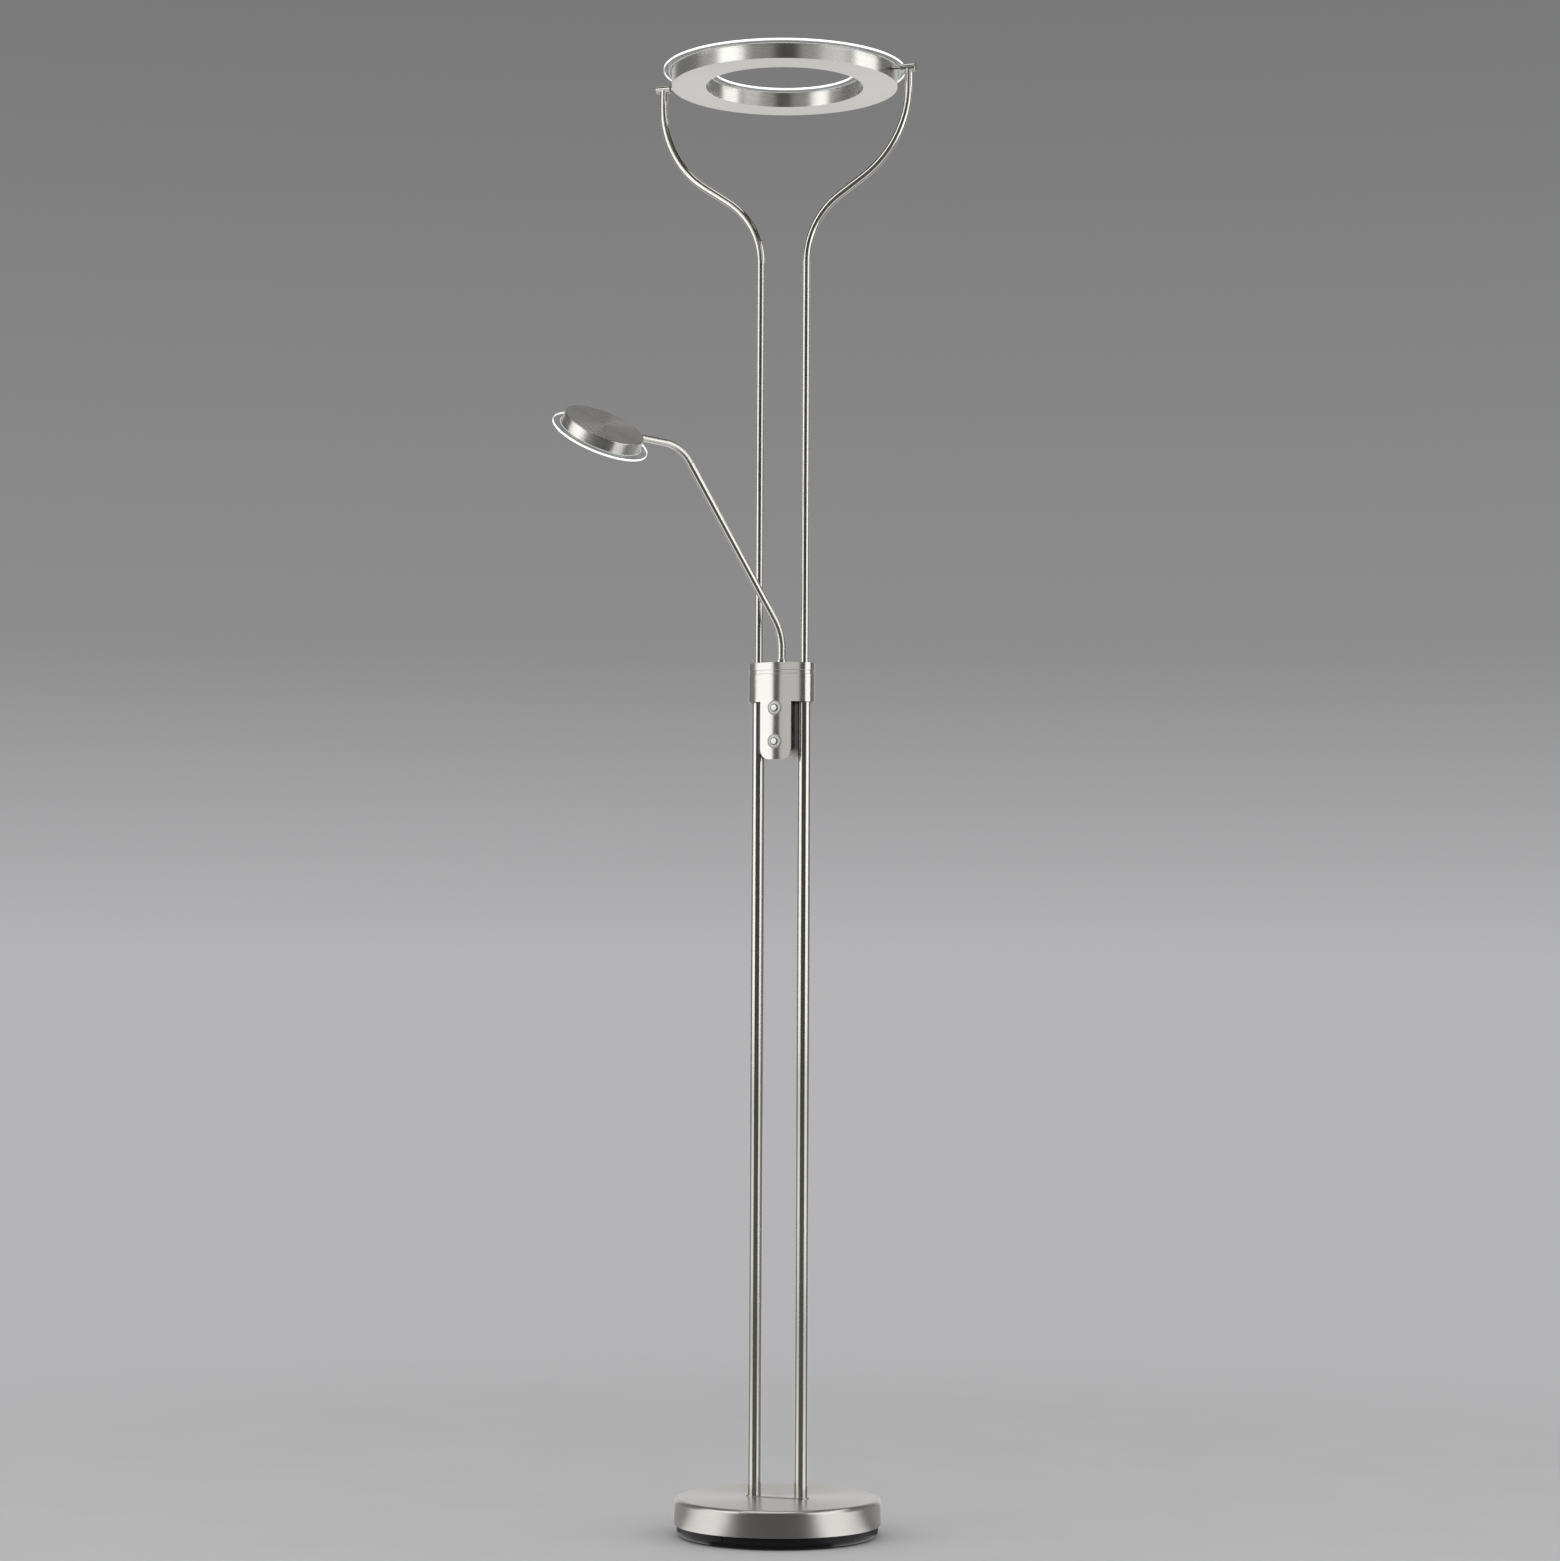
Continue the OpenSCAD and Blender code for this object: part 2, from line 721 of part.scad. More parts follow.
module switch_box_lid() {
    color(black) difference() {
        facing_front(0, box_back_y + lid_t, 0) linear_extrude(lid_t) box_outline(0);
        for (z = boss_z) facing_front(0, box_back_y + lid_t + 1, z)
            cylinder(d = lid_screw_d + 2 * fit_gap, h = lid_t + 2);
    }
}

module lid_screws() {
    back = box_back_y + lid_t;
    color(polished) for (z = boss_z) {
        facing_front(0, back, z) cylinder(d = lid_screw_d, h = 12);
        facing_front(0, back + 1.5, z) cylinder(d = lid_screw_head, h = 1.5);
    }
}

// Board with a capacitor, a terminal block and a driver chip on its back
module dimmer_board() {
    board_w = box_w - 2 * box_wall - 2;
    parts_y = pcb_y + board_t - 0.2;
    color(board_green) {
        translate([-board_w / 2, pcb_y, pcb_z]) cube([board_w, board_t, pcb_top - pcb_z]);
        translate([-7, parts_y, pcb_z + 12]) rotate([-90, 0, 0]) cylinder(d = 8, h = 11);
        translate([3, parts_y, pcb_z + 6]) cube([10, 8, 8]);
        translate([2, parts_y, pcb_z + 24]) cube([8, 1.8, 6]);
    }
}

module switches() {
    color([0.2, 0.2, 0.2]) for (z = button_z) {
        translate([-switch_w / 2, pcb_y - switch_t, z - switch_w / 2]) cube([switch_w, switch_t, switch_w]);
        facing_front(0, pcb_y - switch_t, z) cylinder(d = plunger_d, h = plunger_len);
    }
}

// Bezel ring: a thin flange whose back follows the tongue, a raised collar, and a barrel through it
module bezel(z) {
    color(polished) difference() {
        union() {
            difference() {
                facing_front(0, -half_depth + 2, z) rotate_extrude() {
                    rounded_half(bezel_d / 2, bezel_flange_t + 2, 0.4);
                    rounded_half(bezel_collar_d / 2, bezel_t + 2, 0.8);
                }
                translate([0, front_c, z - bezel_d])
                    cylinder(r = front_r + running_gap, h = 2 * bezel_d, $fn = 256);
            }
            facing_front(0, bezel_back_y, z) cylinder(d = barrel_bezel_d, h = 4);
        }
        facing_front(0, 0, z) cylinder(d = button_d + 2 * button_guide, h = band_depth);
    }
}

module button(z) {
    sphere_r = (pow(button_d / 2, 2) + pow(button_dome, 2)) / (2 * button_dome);
    color(polished) {
        intersection() {
            facing_front(0, button_back_y, z) cylinder(d = button_d, h = button_back_y - button_front_y + 5);
            translate([0, button_front_y - button_dome + sphere_r, z]) sphere(r = sphere_r, $fn = 128);
            facing_front(0, button_back_y, z) cylinder(d = 2 * button_d, h = band_depth);
        }
        facing_front(0, button_back_y, z) cylinder(d = button_flange_d, h = button_flange_t);
    }
}

// ---------- ring head ----------

module ring_housing() {
    color(nickel) difference() {
        translate([0, 0, ring_z]) rotate_extrude() difference() {
            translate([ring_hole_r, 0]) square([ring_r - ring_hole_r, ring_h]);
            translate([ring_hole_r + ring_wall, ring_wall])
                square([ring_r - ring_hole_r - 2 * ring_wall, ring_h]);
        }
        for (side = [-1, 1]) translate([side * (ring_r - ring_wall - 3), 0, pivot_z])
            rotate([0, side * 90, 0]) cylinder(d = pivot_d + 2 * running_gap, h = 10);
    }
}

module pivot_pin(side) {
    color(polished) translate([side * pin_in_x, 0, pivot_z]) rotate([0, side * 90, 0]) difference() {
        union() {
            cylinder(d = pivot_d, h = pin_out_x - pin_in_x);
            translate([0, 0, ring_r - pin_in_x + fit_gap]) cylinder(d = pin_shoulder_d, h = pin_shoulder_t);
        }
        translate([0, 0, -1]) cylinder(d = pin_wire_d, h = big);
    }
}

module pivot_nuts() {
    nut_x = ring_r - ring_wall - fit_gap - pin_nut_t;
    color(brass) for (side = [-1, 1]) translate([side * nut_x, 0, pivot_z]) rotate([0, side * 90, 0])
        hex_nut(pin_nut_d, pivot_d + 2 * running_gap, pin_nut_t);
}

module ring_board() {
    margin = 5.5;
    led = 3;
    mid_r = (ring_r + ring_hole_r) / 2;
    color(opal) translate([0, 0, ring_z + ring_wall]) {
        pipe(2 * (ring_r - ring_wall - margin - 2), 2 * (ring_hole_r + ring_wall + margin), board_t);
        for (i = [0 : ring_leds - 1]) rotate([0, 0, i * 360 / ring_leds])
            translate([mid_r - led / 2, -led / 2, board_t - 0.2]) cube([led, led, 1]);
    }
}

module ring_diffuser() {
    color(opal) translate([0, 0, ring_top - diffuser_t])
        pipe(2 * (ring_r - ring_wall - fit_gap), 2 * (ring_hole_r + ring_wall + fit_gap), diffuser_t);
}

module ring_glass() {
    inner = ring_hole_r - glass_lip;
    outer = ring_r + glass_lip;
    bevel = 0.5;
    color(clear) translate([0, 0, ring_top]) rotate_extrude() polygon([
        [inner + bevel, 0], [outer - bevel, 0], [outer, bevel], [outer, glass_t - bevel],
        [outer - bevel, glass_t], [inner + bevel, glass_t], [inner, glass_t - bevel], [inner, bevel]]);
}

// ---------- reading arm ----------

// Frame of the arm: its plane is XZ and it leans towards +X
module arm_frame() {
    rotate([0, 0, 180 + arm_turn]) children();
}

// Start of the rigid arm tube, with +Z along it
module at_arm_tube() {
    arm_frame() translate([0, 0, neck_z + neck_rise])
        after_bend(low_bend_r, arm_lean) translate([0, 0, low_neck_run]) children();
}

// Start of the upper gooseneck
module at_high_neck() {
    at_arm_tube() translate([0, 0, arm_len]) children();
}

// End of the upper gooseneck, with +Z into the reading head
module at_neck_end() {
    at_high_neck() translate([0, 0, neck_lead])
        after_bend(high_bend_r, head_turn) translate([0, 0, high_neck_run]) children();
}

// Middle of the reading head: +Z is its upper side and -X points back to the neck
module at_head() {
    at_neck_end() translate([0, 0, nipple_gap + nipple_flange_t + rim_gap + head_r])
        rotate([0, 0, head_roll]) rotate([0, -90, 0]) children();
}

// Straight ribbed hose, which laps over a bend at either end where asked
module hose(d, len, lap_below, lap_above) {
    core = d - 2 * rib_t;
    ribs = floor(len / rib_pitch);
    run(core, neck_bore, -lap_below, len + lap_above);
    for (i = [0 : ribs - 1])
        translate([0, 0, (i + 0.5) * len / ribs - rib_pitch / 4]) pipe(d, neck_bore + 0.8, rib_pitch / 2);
}

// Ribbed hose along a bend
module hose_bend(d, r, angle) {
    core = d - 2 * rib_t;
    ribs = floor(r * angle * PI / 180 / rib_pitch);
    pipe_bend(r, angle, core, neck_bore);
    for (i = [0 : ribs - 1]) after_bend(r, angle * (i + 0.5) / ribs)
        translate([0, 0, -rib_pitch / 4]) pipe(d, neck_bore + 0.8, rib_pitch / 2);
}

module arm_socket() {
    color(nickel) difference() {
        union() {
            translate([0, 0, swivel_nut_z - 1]) cylinder(d = shaft_d, h = collar_z - swivel_nut_z + 1.5);
            translate([0, 0, collar_z]) rotate_extrude() bevelled_half(socket_d / 2, socket_h, 0.4);
            translate([0, 0, neck_z - 1]) cylinder(d = sleeve_d, h = sleeve_len + 1);
        }
        cylinder(d = sleeve_bore, h = lamp_h);
    }
}

module swivel_nut() {
    color(brass) translate([0, 0, swivel_nut_z]) hex_nut(swivel_nut_d, shaft_d + 2 * running_gap, swivel_nut_h);
}

module lower_gooseneck() {
    color(nickel) arm_frame() translate([0, 0, neck_z]) {
        hose(neck_d, neck_rise, 0, lap);
        translate([0, 0, neck_rise]) {
            hose_bend(neck_d, low_bend_r, arm_lean);
            after_bend(low_bend_r, arm_lean) hose(neck_d, low_neck_run, lap, 0);
        }
    }
}

module arm_tube() {
    color(nickel) at_arm_tube() pipe(arm_d, arm_d - 2 * arm_wall, arm_len);
}

// Stepped sleeve: its thick end sits in the arm tube and its thin end in a gooseneck
module arm_sleeve(spigot) {
    difference() {
        union() {
            cylinder(d = arm_d - 2 * arm_wall - 2 * running_gap, h = sleeve_seat);
            translate([0, 0, -spigot]) cylinder(d = sleeve_d, h = spigot + 1);
        }
        translate([0, 0, -spigot - 1]) cylinder(d = sleeve_bore, h = big);
    }
}

module arm_sleeves() {
    color(brass) at_arm_tube() {
        arm_sleeve(sleeve_len);
        translate([0, 0, arm_len]) mirror([0, 0, 1]) arm_sleeve(neck_lead + 2);
    }
}

module upper_gooseneck() {
    color(nickel) at_high_neck() {
        run(head_neck_d, neck_bore, 0, neck_lead + lap);
        translate([0, 0, neck_lead]) {
            hose_bend(head_neck_d, high_bend_r, head_turn);
            after_bend(high_bend_r, head_turn) hose(head_neck_d, high_neck_run, lap, 0);
        }
    }
}

module neck_nipple() {
    shaft = nipple_flange_t + rim_gap + head_wall + rim_boss + rim_gap + neck_nut_t + 1;
    color(nickel) at_neck_end() translate([0, 0, nipple_gap]) difference() {
        union() {
            translate([0, 0, -sleeve_len]) cylinder(d = sleeve_d, h = sleeve_len + 1);
            cylinder(d = head_neck_d + 0.4, h = nipple_flange_t);
            cylinder(d = nipple_d, h = shaft);
        }
        translate([0, 0, -sleeve_len - 1]) cylinder(d = nipple_d - 2.5, h = big);
    }
}

module neck_nut() {
    nut_z = nipple_gap + nipple_flange_t + rim_gap + head_wall + rim_boss + rim_gap;
    color(brass) at_neck_end() translate([0, 0, nut_z])
        hex_nut(neck_nut_d, nipple_d + 2 * running_gap, neck_nut_t);
}

// ---------- reading head ----------

// Spun cap with a boss for the nipple and three posts that carry the board
module reading_cap() {
    half = head_h / 2;
    inner_r = head_r - head_wall;
    color(nickel) at_head() difference() {
        union() {
            translate([0, 0, -half]) rotate_extrude() difference() {
                rounded_half(head_r, head_h, head_edge_r);
                translate([0, -1]) square([inner_r, head_h - head_wall + 1]);
            }
            translate([-inner_r - 0.5, -rim_boss_w / 2, -half + 1])
                cube([rim_boss + 0.5, rim_boss_w, head_h - head_wall]);
            for (i = [0 : 2]) rotate([0, 0, 60 + i * 120])
                translate([head_post_r, 0, head_board_z + board_t])
                    cylinder(d = head_post_d, h = half - head_wall / 2 - head_board_z - board_t);
        }
        translate([-head_r - 1, 0, 0]) rotate([0, 90, 0])
            cylinder(d = nipple_d + 2 * running_gap, h = head_wall + rim_boss + 5);
    }
}

// Round board with its diodes on the side that faces the diffuser
module reading_board() {
    led = 3;
    color(opal) at_head() translate([0, 0, head_board_z]) {
        cylinder(d = head_board_d, h = board_t);
        for (i = [0 : head_leds - 1]) rotate([0, 0, i * 360 / head_leds])
            translate([head_board_d / 3 - led / 2, -led / 2, -0.8]) cube([led, led, 1]);
    }
}

module reading_diffuser() {
    color(opal) at_head() translate([0, 0, -head_h / 2])
        cylinder(r = head_r - head_wall - rim_boss - 1, h = diffuser_t);
}

module reading_glass() {
    color(clear) at_head() translate([0, 0, -head_h / 2 - glass_t])
        rotate_extrude() bevelled_half(head_r + head_glass_lip, glass_t, 0.5);
}

felt_pad();
foot_tray();
cord_inlet();
base_weight();
led_driver();
spacer_tubes();
tie_rods();
tie_nuts();
base_cover();
foot_plate();
tube_inserts();
lower_tube(-1);  // lower_tube_left
lower_tube(1);  // lower_tube_right
coupler(-1);  // coupler_left
coupler(1);  // coupler_right
clamp_block();
band();
band_screw();
band_cap();
swivel_bush();
switch_box();
switch_box_lid();
lid_screws();
dimmer_board();
switches();
bezel(button_z[0]);  // bezel_upper
bezel(button_z[1]);  // bezel_lower
button(button_z[0]);  // button_upper
button(button_z[1]);  // button_lower
upper_tube(-1);  // upper_tube_left
upper_tube(1);  // upper_tube_right
barrel(-1);  // barrel_left
barrel(1);  // barrel_right
pivot_pin(-1);  // pivot_pin_left
pivot_pin(1);  // pivot_pin_right
pivot_nuts();
ring_housing();
ring_board();
ring_diffuser();
ring_glass();
arm_socket();
swivel_nut();
lower_gooseneck();
arm_tube();
arm_sleeves();
upper_gooseneck();
neck_nipple();
neck_nut();
reading_cap();
reading_board();
reading_diffuser();
reading_glass();
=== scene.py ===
import json
import math

import bmesh
import bpy
import numpy as np
from mathutils import Matrix, Vector


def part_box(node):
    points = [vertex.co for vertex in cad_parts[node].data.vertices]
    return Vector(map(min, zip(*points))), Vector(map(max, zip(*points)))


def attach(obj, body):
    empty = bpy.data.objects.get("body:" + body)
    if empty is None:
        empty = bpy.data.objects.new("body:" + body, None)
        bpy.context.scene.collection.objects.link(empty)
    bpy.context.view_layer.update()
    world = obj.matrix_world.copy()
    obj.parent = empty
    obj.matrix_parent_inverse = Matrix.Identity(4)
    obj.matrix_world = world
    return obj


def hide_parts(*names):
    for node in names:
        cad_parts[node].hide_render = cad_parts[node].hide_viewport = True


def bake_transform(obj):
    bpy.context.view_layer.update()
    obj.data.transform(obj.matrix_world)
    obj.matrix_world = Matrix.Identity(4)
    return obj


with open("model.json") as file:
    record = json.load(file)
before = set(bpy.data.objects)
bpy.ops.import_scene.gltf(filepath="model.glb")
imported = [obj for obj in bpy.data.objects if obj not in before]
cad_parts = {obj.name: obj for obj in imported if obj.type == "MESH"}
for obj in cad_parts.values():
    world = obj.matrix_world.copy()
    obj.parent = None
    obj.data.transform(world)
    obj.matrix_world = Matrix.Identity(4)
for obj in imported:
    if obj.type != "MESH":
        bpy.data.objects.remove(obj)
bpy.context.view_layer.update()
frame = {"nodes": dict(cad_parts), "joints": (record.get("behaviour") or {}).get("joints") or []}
nodes = frame["nodes"]

UP = (0, 0, 1)
SIDE = (1, 0, 0)
FRONT = (0, 1, 0)
WHITE = (1.0, 1.0, 1.0)


def add_object(name, data):
    """New object in the scene, at the origin"""
    made = bpy.data.objects.new(name, data)
    bpy.context.scene.collection.objects.link(made)
    return made


# ---------- camera, fitted to the photograph ----------

CAMERA_TURN = 20.5206        # degrees that it stands to the right of the front
CAMERA_AWAY = 4.39314
CAMERA_HEIGHT = 0.64635
CAMERA_YAW = 0.0181
CAMERA_PITCH = 3.517
CAMERA_ROLL = 0.2914
CAMERA_LENS = 82.773
CAMERA_SENSOR = 36.0


def make_camera():
    data = bpy.data.cameras.new("camera")
    data.sensor_width = CAMERA_SENSOR
    data.lens = CAMERA_LENS
    data.clip_start = 0.1
    data.clip_end = 100.0
    camera = add_object("camera", data)
    turn = math.radians(CAMERA_TURN)
    yaw = turn + math.radians(CAMERA_YAW)
    pitch = math.radians(CAMERA_PITCH)
    roll = math.radians(CAMERA_ROLL)
    forward = Vector((-math.sin(yaw) * math.cos(pitch), math.cos(yaw) * math.cos(pitch), math.sin(pitch)))
    level = forward.cross(Vector(UP)).normalized()
    above = level.cross(forward)
    right = level * math.cos(roll) + above * math.sin(roll)
    up = above * math.cos(roll) - level * math.sin(roll)
    turned = Matrix((right, up, -forward)).transposed().to_4x4()
    place = Vector((CAMERA_AWAY * math.sin(turn), -CAMERA_AWAY * math.cos(turn), CAMERA_HEIGHT))
    camera.matrix_world = Matrix.Translation(place) @ turned
    bpy.context.scene.camera = camera


make_camera()
bpy.context.scene.view_settings.view_transform = "Standard"


# ---------- node graph helper ----------

class Graph:
    """Short calls that build a shader's nodes. A value is a number, a tuple or another node's output."""

    def __init__(self, tree):
        self.nodes = tree.nodes
        self.links = tree.links
        self.nodes.clear()

    def add(self, kind, **settings):
        made = self.nodes.new("ShaderNode" + kind)
        for name, value in settings.items():
            setattr(made, name, value)
        return made

    def put(self, socket, value):
        if isinstance(value, bpy.types.NodeSocket):
            self.links.new(value, socket)
        else:
            socket.default_value = value

    def math(self, operation, a, b=0.0, c=0.0):
        made = self.add("Math", operation=operation)
        for socket, value in zip(made.inputs, (a, b, c)):
            self.put(socket, value)
        return made.outputs[0]

    def vector(self, operation, a, b=(0, 0, 0), scale=None):
        made = self.add("VectorMath", operation=operation)
        self.put(made.inputs[0], a)
        self.put(made.inputs[1], b)
        if scale is not None:
            self.put(made.inputs["Scale"], scale)
        return made.outputs["Value" if operation in ("DOT_PRODUCT", "LENGTH") else "Vector"]

    def combine(self, x=0.0, y=0.0, z=0.0):
        made = self.add("CombineXYZ")
        for socket, value in zip(made.inputs, (x, y, z)):
            self.put(socket, value)
        return made.outputs[0]

    def separate(self, value):
        made = self.add("SeparateXYZ")
        self.put(made.inputs[0], value)
        return made.outputs

    def noise(self, vector, scale, detail=2.0, roughness=0.5):
        made = self.add("TexNoise")
        self.put(made.inputs["Vector"], vector)
        made.inputs["Scale"].default_value = scale
        made.inputs["Detail"].default_value = detail
        made.inputs["Roughness"].default_value = roughness
        return made.outputs["Fac"]

    def span(self, value, low, high, to_low=0.0, to_high=1.0, smooth=False):
        made = self.add("MapRange", interpolation_type="SMOOTHSTEP" if smooth else "LINEAR")
        self.put(made.inputs["Value"], value)
        for name, number in (("From Min", low), ("From Max", high), ("To Min", to_low), ("To Max", to_high)):
            self.put(made.inputs[name], number)
        return made.outputs["Result"]

    def vary(self, noise, low=0.0, high=1.0):
        """A noise, whose values lie mostly between 0.3 and 0.7, spread from low to high"""
        return self.span(noise, 0.3, 0.7, low, high)

    def mix(self, share, a, b):
        made = self.add("Mix", data_type="RGBA")
        self.put(made.inputs["Factor"], share)
        for socket, value in ((made.inputs[6], a), (made.inputs[7], b)):
            self.put(socket, value if isinstance(value, bpy.types.NodeSocket) else (*value, 1.0))
        return made.outputs[2]

    def bump(self, height, strength, distance):
        made = self.add("Bump")
        made.inputs["Strength"].default_value = strength
        made.inputs["Distance"].default_value = distance
        self.put(made.inputs["Height"], height)
        return made.outputs["Normal"]

    def blend(self, share, a, b):
        """Mix of two shader nodes"""
        made = self.add("MixShader")
        self.put(made.inputs[0], share)
        self.links.new(a.outputs[0], made.inputs[1])
        self.links.new(b.outputs[0], made.inputs[2])
        return made

    def place(self):
        """Point in metres in the rest frame, as every CAD node's object sits at the origin"""
        return self.add("TexCoord").outputs["Object"]

    def round_axis(self, axis, centre):
        """Height along an axis through a point, and the vector from the axis out to here"""
        rel = self.vector("SUBTRACT", self.place(), tuple(centre))
        along = self.vector("DOT_PRODUCT", rel, axis)
        return along, self.vector("SUBTRACT", rel, self.vector("SCALE", axis, scale=along))

    def finish(self, shader, kind="Material"):
        self.links.new(shader.outputs[0], self.add("Output" + kind).inputs["Surface"])


def new_material(name):
    made = bpy.data.materials.new(name)
    made.use_nodes = True
    return made, Graph(made.node_tree)


def surface(graph, **values):
    """Principled shader wired to the output, with its sockets set by name"""
    shader = graph.add("BsdfPrincipled")
    for name, value in values.items():
        socket = shader.inputs[name.replace("_", " ")]
        graph.put(socket, (*value, 1.0) if isinstance(value, tuple) and len(value) == 3 else value)
    graph.finish(shader)


# ---------- stage ----------

WALL_TOP = (0.185, 0.185, 0.187)
WALL_MIDDLE = (0.27, 0.27, 0.273)
WALL_LOW = (0.46, 0.46, 0.47)
WALL_STOPS = ((0.0, WALL_LOW), (0.10, WALL_LOW), (0.36, WALL_MIDDLE), (0.95, WALL_TOP))
WALL_SPAN = (-0.02, 0.30)          # heights of the direction, as its z, between which the stops lie
AMBIENT = 0.75
STUDIO_DARK = (0.085, 0.085, 0.085)
STUDIO_GREY = (0.30, 0.30, 0.30)

FLOOR_COLOUR = (0.42, 0.42, 0.425)
FLOOR_RADIUS = 14.0
FLOOR_SIDES = 64
FLOOR_FADE = (0.8, 2.6)            # metres from the object between which the floor runs into the wall
FRONT_DARK = (0.10, 0.10, 0.10)
BACKDROP_PALE = (0.8, 0.8, 0.8)
PATCH_NEAR = (1.1, 1.1, 1.1)       # the floor in front of a lamp, as metal mirrors it
PATCH_FAR = (0.48, 0.48, 0.48)
PATCH_FADE = (0.4, 3.0)

LAMP_AWAY = 2.8
CARD_AWAY = 3.4
LEFT_LAMP = (-73, -25)             # degrees from the front towards the right
RIGHT_LAMP = (56, 104)
LOW_LAMP = (0.05, 0.55)            # metres above the floor
TALL_LAMP = (0.55, 2.3)
HIGH_LAMP = (2.3, 3.3)             # above the height that the rods mirror: what the ring sees
LAMPS = (                          # name, directions, heights, radiance
    ("low_left", LEFT_LAMP, LOW_LAMP, 0.56),
    ("low_right", RIGHT_LAMP, LOW_LAMP, 0.68),
    ("soft_left", LEFT_LAMP, TALL_LAMP, 1.35),
    ("soft_right", RIGHT_LAMP, TALL_LAMP, 1.35),
    ("high_left", (-49, -20), HIGH_LAMP, 1.85),
    ("high_front", (-20, 10), HIGH_LAMP, 0.4),
    ("high_right", (35, 85), HIGH_LAMP, 0.5),
    ("high_far_right", (95, 127), HIGH_LAMP, 1.85),
)
TOP_LAMP_PLACE = (0.0, -3.0, 12.0)
TOP_LAMP_SIDE = 8.6
TOP_LAMP_RADIANCE = 1.15


def heading(turn):
    """Level direction at an angle from the front, in degrees towards the right"""
    angle = math.radians(turn)
    return (math.sin(angle), -math.cos(angle), 0.0)


BACKDROP_SIDE = heading(CAMERA_TURN + 180)


def make_world():
    world = bpy.data.worlds.new("studio")
    bpy.context.scene.world = world
    world.use_nodes = True
    graph = Graph(world.node_tree)
    x, y, z = graph.separate(graph.add("TexCoord").outputs["Generated"])
    ramp = graph.add("ValToRGB")
    graph.put(ramp.inputs["Fac"], graph.span(z, *WALL_SPAN))
    while len(ramp.color_ramp.elements) < len(WALL_STOPS):
        ramp.color_ramp.elements.new(0.5)
    for element, (at, colour) in zip(ramp.color_ramp.elements, WALL_STOPS):
        element.position = at
        element.color = (*colour, 1.0)
    wall = ramp.outputs["Color"]
    # Metal sees a pale backdrop behind the object, a grey room beside it and a dark one in front, and all
    # of it darker higher up
    level = graph.vector("NORMALIZE", graph.combine(x, y, 0.0))
    facing = graph.vector("DOT_PRODUCT", level, BACKDROP_SIDE)
    room = graph.mix(graph.span(facing, -0.2, 0.3, smooth=True), STUDIO_DARK, STUDIO_GREY)
    room = graph.mix(graph.span(facing, 0.80, 0.92, smooth=True), room, WHITE)
    room = graph.vector("SCALE", room, scale=graph.span(z, 0.62, 0.3, 0.24, 0.68))
    seen = graph.add("LightPath").outputs
    shown = graph.add("Background")
    graph.put(shown.inputs["Color"], graph.mix(seen["Is Glossy Ray"], wall, room))
    ambient = graph.add("Background")
    graph.put(ambient.inputs["Color"], (*WHITE, 1.0))
    graph.put(ambient.inputs["Strength"], AMBIENT)
    direct = graph.math("MAXIMUM", seen["Is Camera Ray"], seen["Is Glossy Ray"])
    direct = graph.math("MAXIMUM", direct, seen["Is Transmission Ray"])
    graph.finish(graph.blend(direct, ambient, shown), "World")


def make_floor():
    mesh = bpy.data.meshes.new("floor")
    rim = [Vector(heading(360 * i / FLOOR_SIDES)) * FLOOR_RADIUS for i in range(FLOOR_SIDES)]
    mesh.from_pydata(rim, [], [list(range(FLOOR_SIDES))])
    floor = add_object("floor", mesh)
    material, graph = new_material("floor")
    place = graph.place()
    away = graph.vector("LENGTH", place)
    grain = graph.vary(graph.noise(place, 6.0, 3.0), 0.985, 1.015)
    near = graph.add("BsdfDiffuse")
    graph.put(near.inputs["Color"], graph.vector("SCALE", FLOOR_COLOUR, scale=grain))
    # The camera sees the floor run into the wall
    far = graph.add("Emission")
    graph.put(far.inputs["Color"], (*WALL_LOW, 1.0))
    plain = graph.blend(graph.span(away, *FLOOR_FADE, smooth=True), near, far)
    # Metal sees it pale behind the object and where the lamps shine on it, and dark in front
    way = graph.vector("NORMALIZE", place)
    behind = graph.vector("DOT_PRODUCT", way, BACKDROP_SIDE)
    tone = graph.mix(graph.span(behind, 0.0, 0.4, smooth=True), FRONT_DARK, STUDIO_GREY)
    tone = graph.mix(graph.span(behind, 0.72, 0.88, smooth=True), tone, BACKDROP_PALE)
    patch = graph.mix(graph.span(away, *PATCH_FADE), PATCH_NEAR, PATCH_FAR)
    for turns in (LEFT_LAMP, RIGHT_LAMP):
        edge = math.cos(math.radians(turns[1] - turns[0]) / 2)
        towards = graph.vector("DOT_PRODUCT", way, heading(sum(turns) / 2))
        tone = graph.mix(graph.span(towards, edge - 0.03, edge + 0.02, smooth=True), tone, patch)
    mirrored = graph.add("Emission")
    graph.put(mirrored.inputs["Color"], tone)
    graph.finish(graph.blend(graph.add("LightPath").outputs["Is Glossy Ray"], plain, mirrored))
    mesh.materials.append(material)


def area_lamp(name, width, tall, radiance):
    """Soft rectangular lamp, not yet placed, as bright to look at whatever its size"""
    data = bpy.data.lights.new(name, "AREA")
    data.shape = "RECTANGLE"
    data.size = width
    data.size_y = tall
    data.energy = math.pi * width * tall * radiance
    lamp = add_object(name, data)
    lamp.visible_camera = False
    lamp.visible_transmission = False
    return lamp


